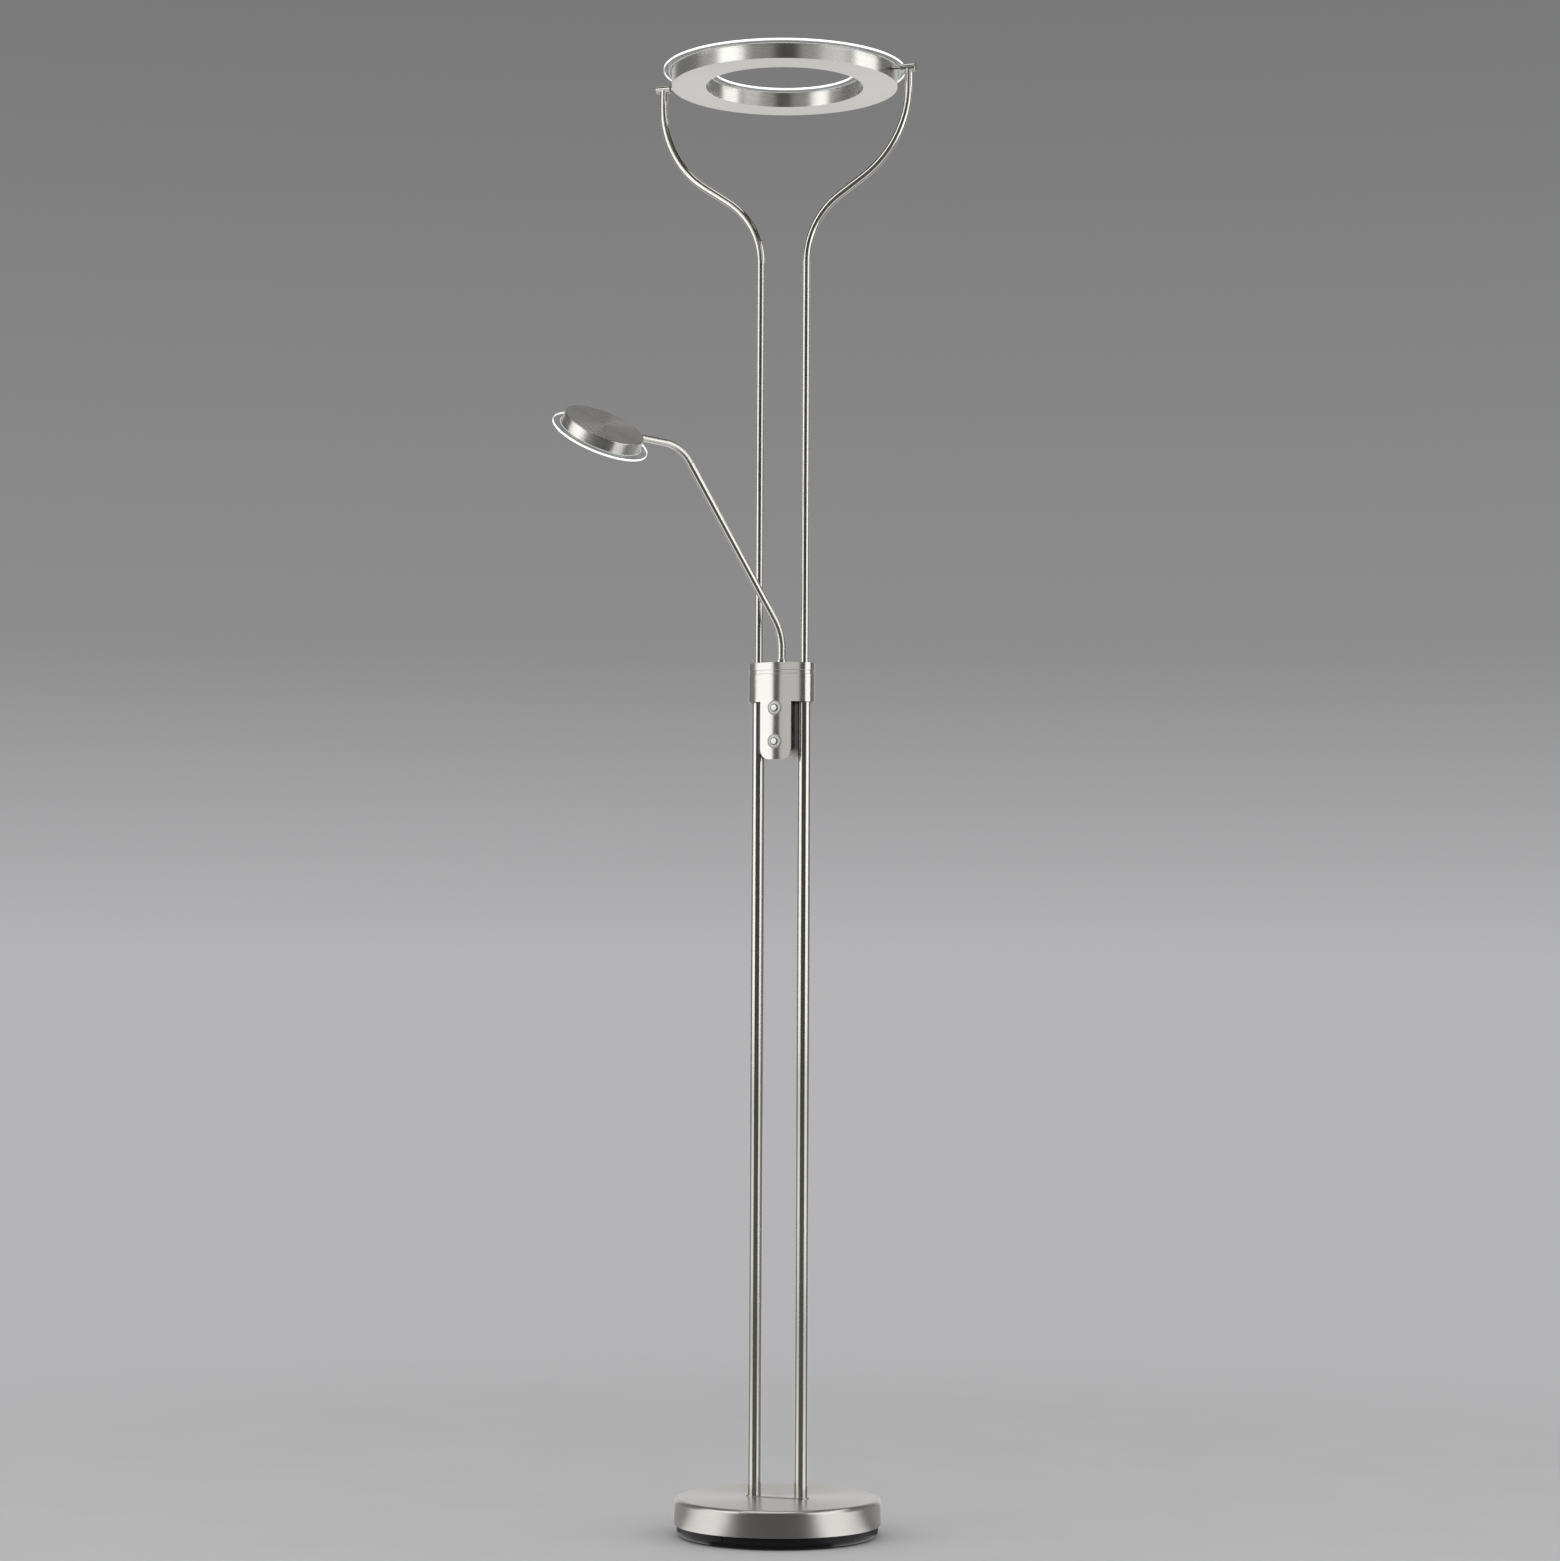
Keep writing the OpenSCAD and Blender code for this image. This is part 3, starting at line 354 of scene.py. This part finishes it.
def upright(name, turns, heights, radiance, away=LAMP_AWAY):
    """Vertical lamp that faces the object and spans two directions, in degrees from the front towards the
    right, and two heights"""
    turn = math.radians(sum(turns) / 2)
    width = 2 * away * math.tan(math.radians(turns[1] - turns[0]) / 2)
    lamp = area_lamp(name, width, heights[1] - heights[0], radiance)
    lamp.location = (away * math.sin(turn), -away * math.cos(turn), sum(heights) / 2)
    lamp.rotation_euler = (math.radians(90), 0, turn)
    return lamp


def make_lamps():
    for lamp in LAMPS:
        upright(*lamp)
    # Far up, so that its light is alike at the ring and at the floor
    top = area_lamp("soft_top", TOP_LAMP_SIDE, TOP_LAMP_SIDE, TOP_LAMP_RADIANCE)
    top.location = TOP_LAMP_PLACE
    # A card that only the housing mirrors, as the rods beside it stay dark in the middle
    card = upright("soft_card", (-9, 37), (0.3, 2.6), 0.6, CARD_AWAY)
    receivers = bpy.data.collections.new("card_receivers")
    for name in ("band", "band_cap"):
        receivers.objects.link(nodes[name])
    card.light_linking.receiver_collection = receivers


make_world()
make_floor()
make_lamps()


# ---------- materials ----------

NICKEL = (0.70, 0.685, 0.655)
NICKEL_DARK = (0.665, 0.65, 0.62)
POLISHED = (0.78, 0.77, 0.75)
BARREL = (0.64, 0.63, 0.60)
BARREL_DARK = (0.54, 0.53, 0.51)
# painted shade: the switch box's metal is coloured dark, so that its sides show the shade between the tongue
# and the rods
BOX_SHADED_METAL = (0.20, 0.195, 0.185)
BOX_SHADED_METAL_DARK = (0.16, 0.155, 0.15)
# painted shade in the hose's grooves
HOSE_GROOVE_SHADE = (0.46, 0.45, 0.43)
# painted shade in the gap round a button's cap
GAP_SHADE_BLACK = (0.05, 0.05, 0.05)

FINE_LINES = 2600.0          # noise scales of brushed metal, per metre across the lines
BROAD_LINES = 420.0

CAP_R = 0.0038               # radii at which a button's cap and its groove, painted black as shade, end, and a bezel's collar
SHADE_RING_R = 0.0052
COLLAR_R = 0.0072
SOFT_EDGE = 0.0003


def turned_metal(name, axis, centre, bright=NICKEL, dull=NICKEL_DARK, rough=0.27, aniso=0.5):
    """Metal brushed round an axis: fine lines that run round it, and highlights stretched across them"""
    material, graph = new_material(name)
    axis = tuple(Vector(axis).normalized())
    along, radial = graph.round_axis(axis, centre)
    outward = graph.vector("NORMALIZE", radial)
    spin = graph.add("VectorTransform", vector_type="VECTOR", convert_from="OBJECT", convert_to="WORLD")
    graph.put(spin.inputs[0], graph.vector("CROSS_PRODUCT", axis, outward))
    across = graph.combine(along, graph.vector("LENGTH", radial), 0.0)

    def lines(scale, drift, *settings):
        """Noise with this scale across the lines, that drifts a little on the way round"""
        lengthwise = graph.vector("SCALE", outward, scale=drift)
        place = graph.vector("ADD", graph.vector("SCALE", across, scale=scale), lengthwise)
        return graph.noise(place, 1.0, *settings)

    fine = lines(FINE_LINES, 2.0, 2.0)
    broad = lines(BROAD_LINES, 0.9, 3.0, 0.6)
    smudge = graph.noise(graph.place(), 22.0, 2.0)
    streak = graph.math("MULTIPLY_ADD", fine, 0.5, graph.math("MULTIPLY", broad, 0.5))
    roughness = graph.math("ADD", graph.vary(broad, rough - 0.01, rough + 0.01),
                           graph.vary(smudge, -0.01, 0.015))
    surface(graph, Base_Color=graph.mix(graph.span(streak, 0.32, 0.68), dull, bright), Metallic=1.0,
            Roughness=roughness, Anisotropic=aniso, Anisotropic_Rotation=0.25, Tangent=spin.outputs[0])
    return material


def drawn_metal(name, bright=NICKEL, dull=NICKEL_DARK, rough=0.15, stretch=(900.0, 900.0, 9.0)):
    """Satin metal with faint lines along its length, as a drawn tube has. stretch is the noise scale on
    each axis."""
    material, graph = new_material(name)
    place = graph.place()
    lines = graph.noise(graph.vector("MULTIPLY", place, stretch), 1.0, 3.0, 0.6)
    smudge = graph.noise(place, 26.0, 3.0)
    surface(graph, Base_Color=graph.mix(graph.vary(lines), dull, bright), Metallic=1.0,
            Roughness=graph.vary(smudge, rough - 0.02, rough + 0.03))
    return material


def simple(name, colour, second, rough, spread, scale, bump, metallic=0.0, **more):
    """Surface with a mottled colour and roughness and a fine grain. bump is its strength and depth."""
    material, graph = new_material(name)
    place = graph.place()
    patches = graph.noise(place, scale * 0.08, 3.0)
    grain = graph.noise(place, scale, 3.0, 0.6)
    surface(graph, Base_Color=graph.mix(graph.span(patches, 0.35, 0.65), colour, second), Metallic=metallic,
            Roughness=graph.vary(grain, rough - spread, rough + spread), Normal=graph.bump(grain, *bump),
            **more)
    return material


def button_finish(name, centre):
    """Push button: a pale domed cap in a groove painted black as shade, inside a bright collar"""
    material, graph = new_material(name)
    away = graph.vector("LENGTH", graph.round_axis(FRONT, centre)[1])
    grain = graph.noise(graph.place(), 1500.0, 3.0)
    pale = graph.mix(graph.vary(grain), (0.84, 0.84, 0.85), (0.90, 0.90, 0.90))
    # Painted shade: black between the cap and the collar, where the gap round the cap lies
    cap = graph.span(away, CAP_R, CAP_R - SOFT_EDGE)
    collar = graph.span(away, SHADE_RING_R, SHADE_RING_R + SOFT_EDGE)
    surface(graph, Base_Color=graph.mix(collar, graph.mix(cap, GAP_SHADE_BLACK, pale), POLISHED),
            Metallic=collar, Roughness=graph.vary(grain, 0.26, 0.34))
    return material


def bezel_finish(name, centre):
    """Bezel: a collar painted pale as a highlight, on a bright flange"""
    material, graph = new_material(name)
    away = graph.vector("LENGTH", graph.round_axis(FRONT, centre)[1])
    grain = graph.noise(graph.place(), 1300.0, 3.0)
    # Painted highlight: the collar is coloured pale and only partly metallic, so that it reads as a bright
    # ring
    pale = graph.mix(graph.vary(grain), (0.80, 0.80, 0.79), (0.86, 0.86, 0.85))
    flange = graph.span(away, COLLAR_R, COLLAR_R + SOFT_EDGE)
    surface(graph, Base_Color=graph.mix(flange, pale, NICKEL_DARK),
            Metallic=graph.span(flange, 0.0, 1.0, 0.45, 1.0), Roughness=graph.vary(grain, 0.22, 0.30))
    return material


def clear_glass(name):
    """Clear plate: what is behind it shows through, under a faint mirror image"""
    material, graph = new_material(name)
    haze = graph.noise(graph.place(), 30.0, 3.0)
    through = graph.add("BsdfTransparent")
    graph.put(through.inputs["Color"], graph.mix(graph.vary(haze), (0.975, 0.985, 0.98), (0.96, 0.975, 0.97)))
    gloss = graph.add("BsdfPrincipled")
    for socket, value in (("Base Color", (0.95, 0.96, 0.96, 1.0)), ("Metallic", 1.0), ("Roughness", 0.04)):
        graph.put(gloss.inputs[socket], value)
    # Facing is alike on both sides of a face, so the far face never turns into a full mirror
    facing = graph.add("LayerWeight").outputs["Facing"]
    mirror = graph.math("MULTIPLY_ADD", graph.math("POWER", facing, 5.0), 0.45, 0.02)
    graph.finish(graph.blend(mirror, through, gloss))
    return material


def light_line(name, strength):
    """Ground glass edge that glows with the light inside the plate, and, fainter, a painted glow line on a
    plate's face
    """
    material, graph = new_material(name)
    grain = graph.noise(graph.place(), 900.0, 2.0)
    glow = graph.math("MULTIPLY", graph.vary(grain, 0.94, 1.06), strength)
    surface(graph, Base_Color=(0.8, 0.82, 0.81), Roughness=graph.vary(grain, 0.4, 0.6),
            Emission_Color=(1.0, 0.985, 0.96), Emission_Strength=glow)
    material.cycles.emission_sampling = "NONE"
    return material


def hose_metal(name):
    """Wound strip: bright crests, and painted shade in the grooves between them"""
    material, graph = new_material(name)
    mottle = graph.noise(graph.place(), 900.0, 3.0)
    # Painted shade: the hollow grooves, found by their low pointiness, are coloured darker
    groove_shade = graph.span(graph.add("NewGeometry").outputs["Pointiness"], 0.42, 0.5)
    surface(graph, Base_Color=graph.mix(groove_shade, HOSE_GROOVE_SHADE, NICKEL), Metallic=1.0,
            Roughness=graph.vary(mottle, 0.20, 0.26))
    return material


# ---------- materials of the CAD nodes ----------

def paint(material, *names):
    for name in names:
        mesh = nodes[name].data
        mesh.materials.clear()
        mesh.materials.append(material)


def middle(name):
    """Middle of a node's box"""
    low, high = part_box(name)
    return tuple((low + high) / 2)


def cloud(name):
    """Points of a node's mesh, the point at their middle, and their main directions, longest first"""
    points = np.array([v.co for v in nodes[name].data.vertices])
    start = points.mean(axis=0)
    return points, start, np.linalg.svd(points - start, full_matrices=False)[2]


def disc(name):
    """Centre, axis (pointing up) and radius of a round plate, from its mesh"""
    points, start, ways = cloud(name)
    reach = (points - start) @ ways.T
    centre = start + ((reach.max(axis=0) + reach.min(axis=0)) / 2) @ ways
    axis = Vector(ways[2]) if ways[2][2] > 0 else -Vector(ways[2])
    return Vector(centre), axis, float(np.ptp(reach[:, 0])) / 2


for side in ("left", "right"):
    barrel, pin = "barrel_" + side, "pivot_pin_" + side
    paint(drawn_metal("rod_" + side), "lower_tube_" + side)
    paint(drawn_metal("fork_" + side, stretch=(260.0, 900.0, 130.0)), "upper_tube_" + side)
    paint(turned_metal(barrel, SIDE, middle(barrel), BARREL, BARREL_DARK, rough=0.18, aniso=0.3), barrel)
    paint(turned_metal("pin_" + side, SIDE, middle(pin), BARREL, BARREL_DARK, rough=0.16, aniso=0.3), pin)

paint(turned_metal("spun_base", UP, (0, 0, 0), rough=0.30, aniso=0.6), "base_cover", "foot_plate")
paint(turned_metal("spun_ring", UP, (0, 0, 0)), "ring_housing")
paint(turned_metal("brushed_band", UP, (0, 0, 0), rough=0.20, aniso=0.4), "band", "band_cap", "arm_socket")
# Painted shade: dark metal colour on the switch box
paint(drawn_metal("box_metal_painted_shade", BOX_SHADED_METAL, BOX_SHADED_METAL_DARK, rough=0.26, stretch=(90.0, 90.0, 2200.0)),
      "switch_box")

glass_middle, head_axis, head_glass_r = disc("reading_glass")
paint(turned_metal("spun_head", head_axis, glass_middle, rough=0.27, aniso=0.85), "reading_cap")

_, tube_middle, tube_ways = cloud("arm_tube")
paint(turned_metal("brushed_arm", tube_ways[0], tube_middle, rough=0.16, aniso=0.3), "arm_tube")

roll_axis = next(joint["axis"] for joint in frame["joints"] if joint["name"] == "head_roll")
paint(turned_metal("brushed_nipple", roll_axis, cloud("neck_nipple")[1], rough=0.22, aniso=0.5),
      "neck_nipple")

for level in ("upper", "lower"):
    button = "button_" + level
    paint(button_finish(button, middle(button)), button)
    paint(bezel_finish("bezel_" + level, middle(button)), "bezel_" + level)

paint(simple("black_plastic", (0.008, 0.008, 0.009), (0.011, 0.011, 0.011), rough=0.42, spread=0.05,
             scale=2600.0, bump=(0.35, 0.00004), Specular_IOR_Level=0.22),
      "foot_tray", "cord_inlet", "switch_box_lid", "switches")
paint(simple("felt", (0.035, 0.035, 0.038), (0.055, 0.055, 0.058), rough=0.95, spread=0.04,
             scale=3200.0, bump=(0.9, 0.0004)),
      "felt_pad")
paint(simple("cast_iron", (0.10, 0.10, 0.105), (0.15, 0.145, 0.14), rough=0.62, spread=0.12,
             scale=700.0, bump=(0.6, 0.0003), metallic=0.85),
      "base_weight")
paint(simple("zinc_steel", (0.50, 0.51, 0.53), (0.60, 0.60, 0.60), rough=0.34, spread=0.08,
             scale=900.0, bump=(0.2, 0.00005), metallic=1.0),
      "spacer_tubes", "tie_nuts", "tube_inserts", "coupler_left", "coupler_right", "clamp_block",
      "band_screw", "lid_screws")
paint(simple("brass", (0.70, 0.52, 0.24), (0.62, 0.45, 0.20), rough=0.28, spread=0.07,
             scale=1100.0, bump=(0.2, 0.00004), metallic=1.0),
      "tie_rods", "swivel_bush", "swivel_nut", "arm_sleeves", "neck_nut", "pivot_nuts")
paint(simple("white_plastic", (0.80, 0.80, 0.78), (0.76, 0.76, 0.74), rough=0.42, spread=0.05,
             scale=1500.0, bump=(0.2, 0.00004)),
      "led_driver")
paint(simple("board_green", (0.03, 0.16, 0.07), (0.04, 0.20, 0.09), rough=0.35, spread=0.06,
             scale=1800.0, bump=(0.2, 0.00003)),
      "dimmer_board")
paint(simple("led_board", (0.80, 0.80, 0.78), (0.74, 0.74, 0.72), rough=0.4, spread=0.05,
             scale=1800.0, bump=(0.2, 0.00003)),
      "ring_board", "reading_board")
paint(simple("opal_plastic", (0.80, 0.80, 0.785), (0.77, 0.77, 0.755), rough=0.45, spread=0.05,
             scale=1300.0, bump=(0.2, 0.00004), Emission_Color=(1.0, 0.98, 0.94), Emission_Strength=0.04),
      "ring_diffuser", "reading_diffuser")
paint(clear_glass("ring_glass"), "ring_glass")
paint(clear_glass("head_glass"), "reading_glass")


# ---------- meshes from rings of points ----------

def joined(rings):
    """Faces between neighbours in a closed chain of rings of point numbers"""
    faces = []
    for a, b in zip(rings, rings[1:] + rings[:1]):
        faces += zip(a, a[1:] + a[:1], b[1:] + b[:1], b)
    return faces


def smooth_object(name, points, faces):
    mesh = bpy.data.meshes.new(name)
    mesh.from_pydata(points, [], faces)
    mesh.validate()
    mesh.shade_smooth()
    return add_object(name, mesh)


def swept(name, sections):
    """Closed band through sections that follow one another round, each a closed line of points that runs
    anticlockwise"""
    points = [point for section in sections for point in section]
    n = len(sections[0])
    return smooth_object(name, points, joined([list(range(j, len(points), n)) for j in range(n)]))


# ---------- diffusers ----------

DIFFUSER_SET_BACK = 0.0002
SAME_PLANE = 0.00001


def set_back(node, body, way):
    """Stand-in for a diffuser, with the face in the plane of its glass set back a hair. Two faces in one
    plane render in patches."""
    mesh = nodes[node].data.copy()
    reach = [vertex.co.dot(way) for vertex in mesh.vertices]
    for vertex, at in zip(mesh.vertices, reach):
        if at > max(reach) - SAME_PLANE:
            vertex.co -= way * DIFFUSER_SET_BACK
    made = add_object(node + "_set_back", mesh)
    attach(made, body)
    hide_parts(node)


set_back("ring_diffuser", "ring_head", Vector(UP))
set_back("reading_diffuser", "reading_head", -head_axis)


# ---------- light lines on the glass ----------

RING_HOLE_R = 0.0875
HEAD_CAP_R = 0.050
RING_EDGE = (-0.0008, 0.0018)      # from and to, measured from the middle of the plate
HEAD_EDGE = (-0.0012, 0.0012)
EDGE_PROUD = 0.00012
EDGE_DEEP = 0.0003
FACE_HEIGHT = 0.00201              # a hundredth of a millimetre above half the thickness of the plate
# painted glow lines on the faces of the plates
LINE_WIDE = 0.0006
LINE_PROUD = 0.0002
OUTER_LINE_IN = 0.0068             # from the ring glass's rim inwards, and from its hole outwards
INNER_LINE_OUT = 0.007
HEAD_LINE_OUT = 0.0013             # outside the reading head's cap
HOOP_SIDES = 192


def edge_section(radius, low, high, way):
    """Section of a light line on an upright glass edge, proud of it outwards (1) or inwards (-1)"""
    within = radius - way * EDGE_DEEP
    corner = radius + way * EDGE_PROUD * 0.5
    bulge = radius + way * EDGE_PROUD
    points = [(within, low), (corner, low), (bulge, (low + high) / 2), (corner, high), (within, high)]
    return points[::way]


def face_section(radius, way):
    """Section of a painted glow line on the upper (1) or lower (-1) face of a glass plate"""
    face = way * FACE_HEIGHT
    crest = face + way * LINE_PROUD
    points = [(radius - LINE_WIDE / 2, face), (radius + LINE_WIDE / 2, face),
              (radius + LINE_WIDE / 4, crest), (radius - LINE_WIDE / 4, crest)]
    return points[::way]


def hoop(name, body, centre, axis, section, material):
    """Ring swept round an axis from a section of (radius, height) points. Mirrors don't show it."""
    place = Matrix.Translation(centre) @ Vector(UP).rotation_difference(Vector(axis)).to_matrix().to_4x4()
    turns = [math.tau * i / HOOP_SIDES for i in range(HOOP_SIDES)]
    made = swept(name, [[place @ Vector((r * math.cos(turn), r * math.sin(turn), z)) for r, z in section]
                        for turn in turns])
    made.data.materials.append(material)
    made.visible_glossy = False
    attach(made, body)


ring_middle, _, ring_glass_r = disc("ring_glass")
on_ring = ("ring_head", ring_middle, UP)
on_head = ("reading_head", glass_middle, head_axis)
bright_line = light_line("light_line_bright", 0.62)
painted_glow_line = light_line("painted_glow_faint", 0.35)
hoop("ring_edge_outer", *on_ring, edge_section(ring_glass_r, *RING_EDGE, 1), bright_line)
hoop("ring_edge_inner", *on_ring, edge_section(RING_HOLE_R, *RING_EDGE, -1), bright_line)
# Painted glow: faint lit lines on the faces of the plates; on the ring they stand in for the glowing edges
# seen again through the glass
hoop("ring_painted_glow_outer", *on_ring, face_section(ring_glass_r - OUTER_LINE_IN, -1), painted_glow_line)
hoop("ring_painted_glow_inner", *on_ring, face_section(RING_HOLE_R + INNER_LINE_OUT, -1), painted_glow_line)
hoop("head_edge", *on_head, edge_section(head_glass_r, *HEAD_EDGE, 1), bright_line)
hoop("head_painted_glow", *on_head, face_section(HEAD_CAP_R + HEAD_LINE_OUT, 1), painted_glow_line)


# ---------- rounded lips of the groove round the band ----------

GROOVE_BELOW_TOP = 0.0096
GROOVE_HEIGHT = 0.0038
LIP_PROUD = 0.0002
LIP_HEIGHT = 0.0006
LIP_SECTION = ((-1.0, -0.5), (0.6, -0.4), (1.0, 0.0), (0.6, 0.4), (-1.0, 0.5))    # shares of the two above
SAME_POINT = 0.00002


def outline(node, height):
    """The longest closed outline that a level cut through a node gives, as points in order"""
    cut = bmesh.new()
    cut.from_mesh(nodes[node].data)
    everything = cut.verts[:] + cut.edges[:] + cut.faces[:]
    cut_line = bmesh.ops.bisect_plane(cut, geom=everything, plane_co=(0, 0, height), plane_no=UP)["geom_cut"]
    kept = set(cut_line)
    bmesh.ops.delete(cut, geom=[v for v in cut.verts if v not in kept], context="VERTS")
    bmesh.ops.remove_doubles(cut, verts=cut.verts, dist=SAME_POINT)
    left = list(cut.verts)
    loops = []
    while left:
        here = left.pop(0)
        loop = [here]
        while True:
            onward = [e.other_vert(here) for e in here.link_edges if e.other_vert(here) in left]
            if not onward:
                break
            here = onward[0]
            left.remove(here)
            loop.append(here)
        loops.append([v.co.copy() for v in loop])
    cut.free()
    return max(loops, key=lambda loop: sum((a - b).length for a, b in zip(loop, loop[1:])))


def lip(name, node, height):
    """Thin half-round lip along a node's outer wall at a height"""
    loop = outline(node, height)
    centre = sum(loop, Vector()) / len(loop)
    if sum((a - centre).cross(b - centre).z for a, b in zip(loop, loop[1:])) < 0:
        loop.reverse()
    sections = []
    for before, here, after in zip(loop[-1:] + loop, loop, loop[1:] + loop[:1]):
        outward = (after - before).normalized().cross(Vector(UP))
        sections.append([here + outward * (out * LIP_PROUD) + Vector(UP) * (up * LIP_HEIGHT)
                         for out, up in LIP_SECTION])
    made = swept(name, sections)
    made.data.materials.append(nodes[node].data.materials[0])
    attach(made, "stand")


band_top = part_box("band")[1].z
lip("groove_lip_upper", "band", band_top - GROOVE_BELOW_TOP + LIP_HEIGHT / 2)
lip("groove_lip_lower", "band", band_top - GROOVE_BELOW_TOP - GROOVE_HEIGHT - LIP_HEIGHT / 2)


# ---------- goosenecks ----------

ARM_TURN = 55.0
NECK_Z = 1.0653
ARM_LEN = 0.198
LOW_NECK = (0.0125, 0.065, 34.5, 0.022)     # straight lead, radius and degrees of the bend, straight run
HIGH_NECK = (0.002, 0.048, 51.0, 0.036)
LOW_HOSE_D = 0.0104
HIGH_HOSE_D = 0.009
HOSE_BORE = 0.007
HOSE_SIDES = 40
RIB_PITCH = 0.0015
FRAMES_PER_RIB = 8
GROOVE_DEPTH = 0.00007


def moved(matrix, rise=0.0, radius=0.0, turn=0.0):
    """The frame after a straight rise, or after a bend towards its +X"""
    angle = math.radians(turn)
    step = Matrix.Translation((radius * (1 - math.cos(angle)), 0, radius * math.sin(angle) + rise))
    return matrix @ step @ Matrix.Rotation(angle, 4, "Y")


def neck_end(start, lead, radius, turn, run):
    """The frame after a straight lead, a bend and a straight run"""
    return moved(moved(moved(start, lead), 0, radius, turn), run)


def hose_frames(start, lead, radius, turn, run):
    """Frames along a neck, each with its distance from the start, and the neck's length"""
    bend = radius * math.radians(turn)
    total = lead + bend + run
    count = round(total / (RIB_PITCH / FRAMES_PER_RIB))
    frames = []
    for i in range(count + 1):
        s = total * i / count
        if s <= lead:
            here = moved(start, s)
        elif s <= lead + bend:
            here = moved(moved(start, lead), 0, radius, (s - lead) / bend * turn)
        else:
            here = neck_end(start, lead, radius, turn, s - lead - bend)
        frames.append((s, here))
    return frames, total


def hose_mesh(name, start, neck, outer):
    """Flexible hose wound from a strip: flat turns with a fine helical groove between them, open at both
    ends"""
    frames, total = hose_frames(start, *neck)
    turns = [math.tau * j / HOSE_SIDES for j in range(HOSE_SIDES)]

    def ring(matrix, radii):
        return [matrix @ Vector((r * math.cos(turn), r * math.sin(turn), 0)) for r, turn in zip(radii, turns)]

    def bore(matrix):
        return ring(matrix, [HOSE_BORE / 2] * HOSE_SIDES)

    chain = []
    for s, matrix in frames:
        # The turns at either end run out to the depth of the groove
        edge = min(1.0, s / RIB_PITCH, (total - s) / RIB_PITCH)
        waves = [0.5 + 0.5 * math.cos(math.tau * (s / RIB_PITCH) - turn) for turn in turns]
        depths = [GROOVE_DEPTH * (1 - edge * (1 - (1 - wave) ** 4)) for wave in waves]
        chain.append(ring(matrix, [outer / 2 - depth for depth in depths]))
    # Back along the bore, where one ring in eight is enough
    inside = [bore(matrix) for _, matrix in frames[FRAMES_PER_RIB::FRAMES_PER_RIB]]
    chain += [bore(frames[-1][1])] + inside[::-1] + [bore(frames[0][1])]
    points = [point for row in chain for point in row]
    numbers = [list(range(i, i + HOSE_SIDES)) for i in range(0, len(points), HOSE_SIDES)]
    return smooth_object(name, points, joined(numbers))


low_start = Matrix.Rotation(math.radians(180 + ARM_TURN), 4, "Z") @ Matrix.Translation((0, 0, NECK_Z))
low_end = neck_end(low_start, *LOW_NECK)
high_start = moved(low_end, ARM_LEN)
high_end = neck_end(high_start, *HIGH_NECK)

low_hose = hose_mesh("lower_hose", low_start, LOW_NECK, LOW_HOSE_D)
high_hose = hose_mesh("upper_hose", high_start, HIGH_NECK, HIGH_HOSE_D)
for hose, start, end, bodies, node in (
        (low_hose, low_start, low_end, ("arm_base", "arm"), "lower_gooseneck"),
        (high_hose, high_start, high_end, ("arm", "neck_end"), "upper_gooseneck")):
    hose.data.materials.append(hose_metal(node))
    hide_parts(node)
    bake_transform(hose)
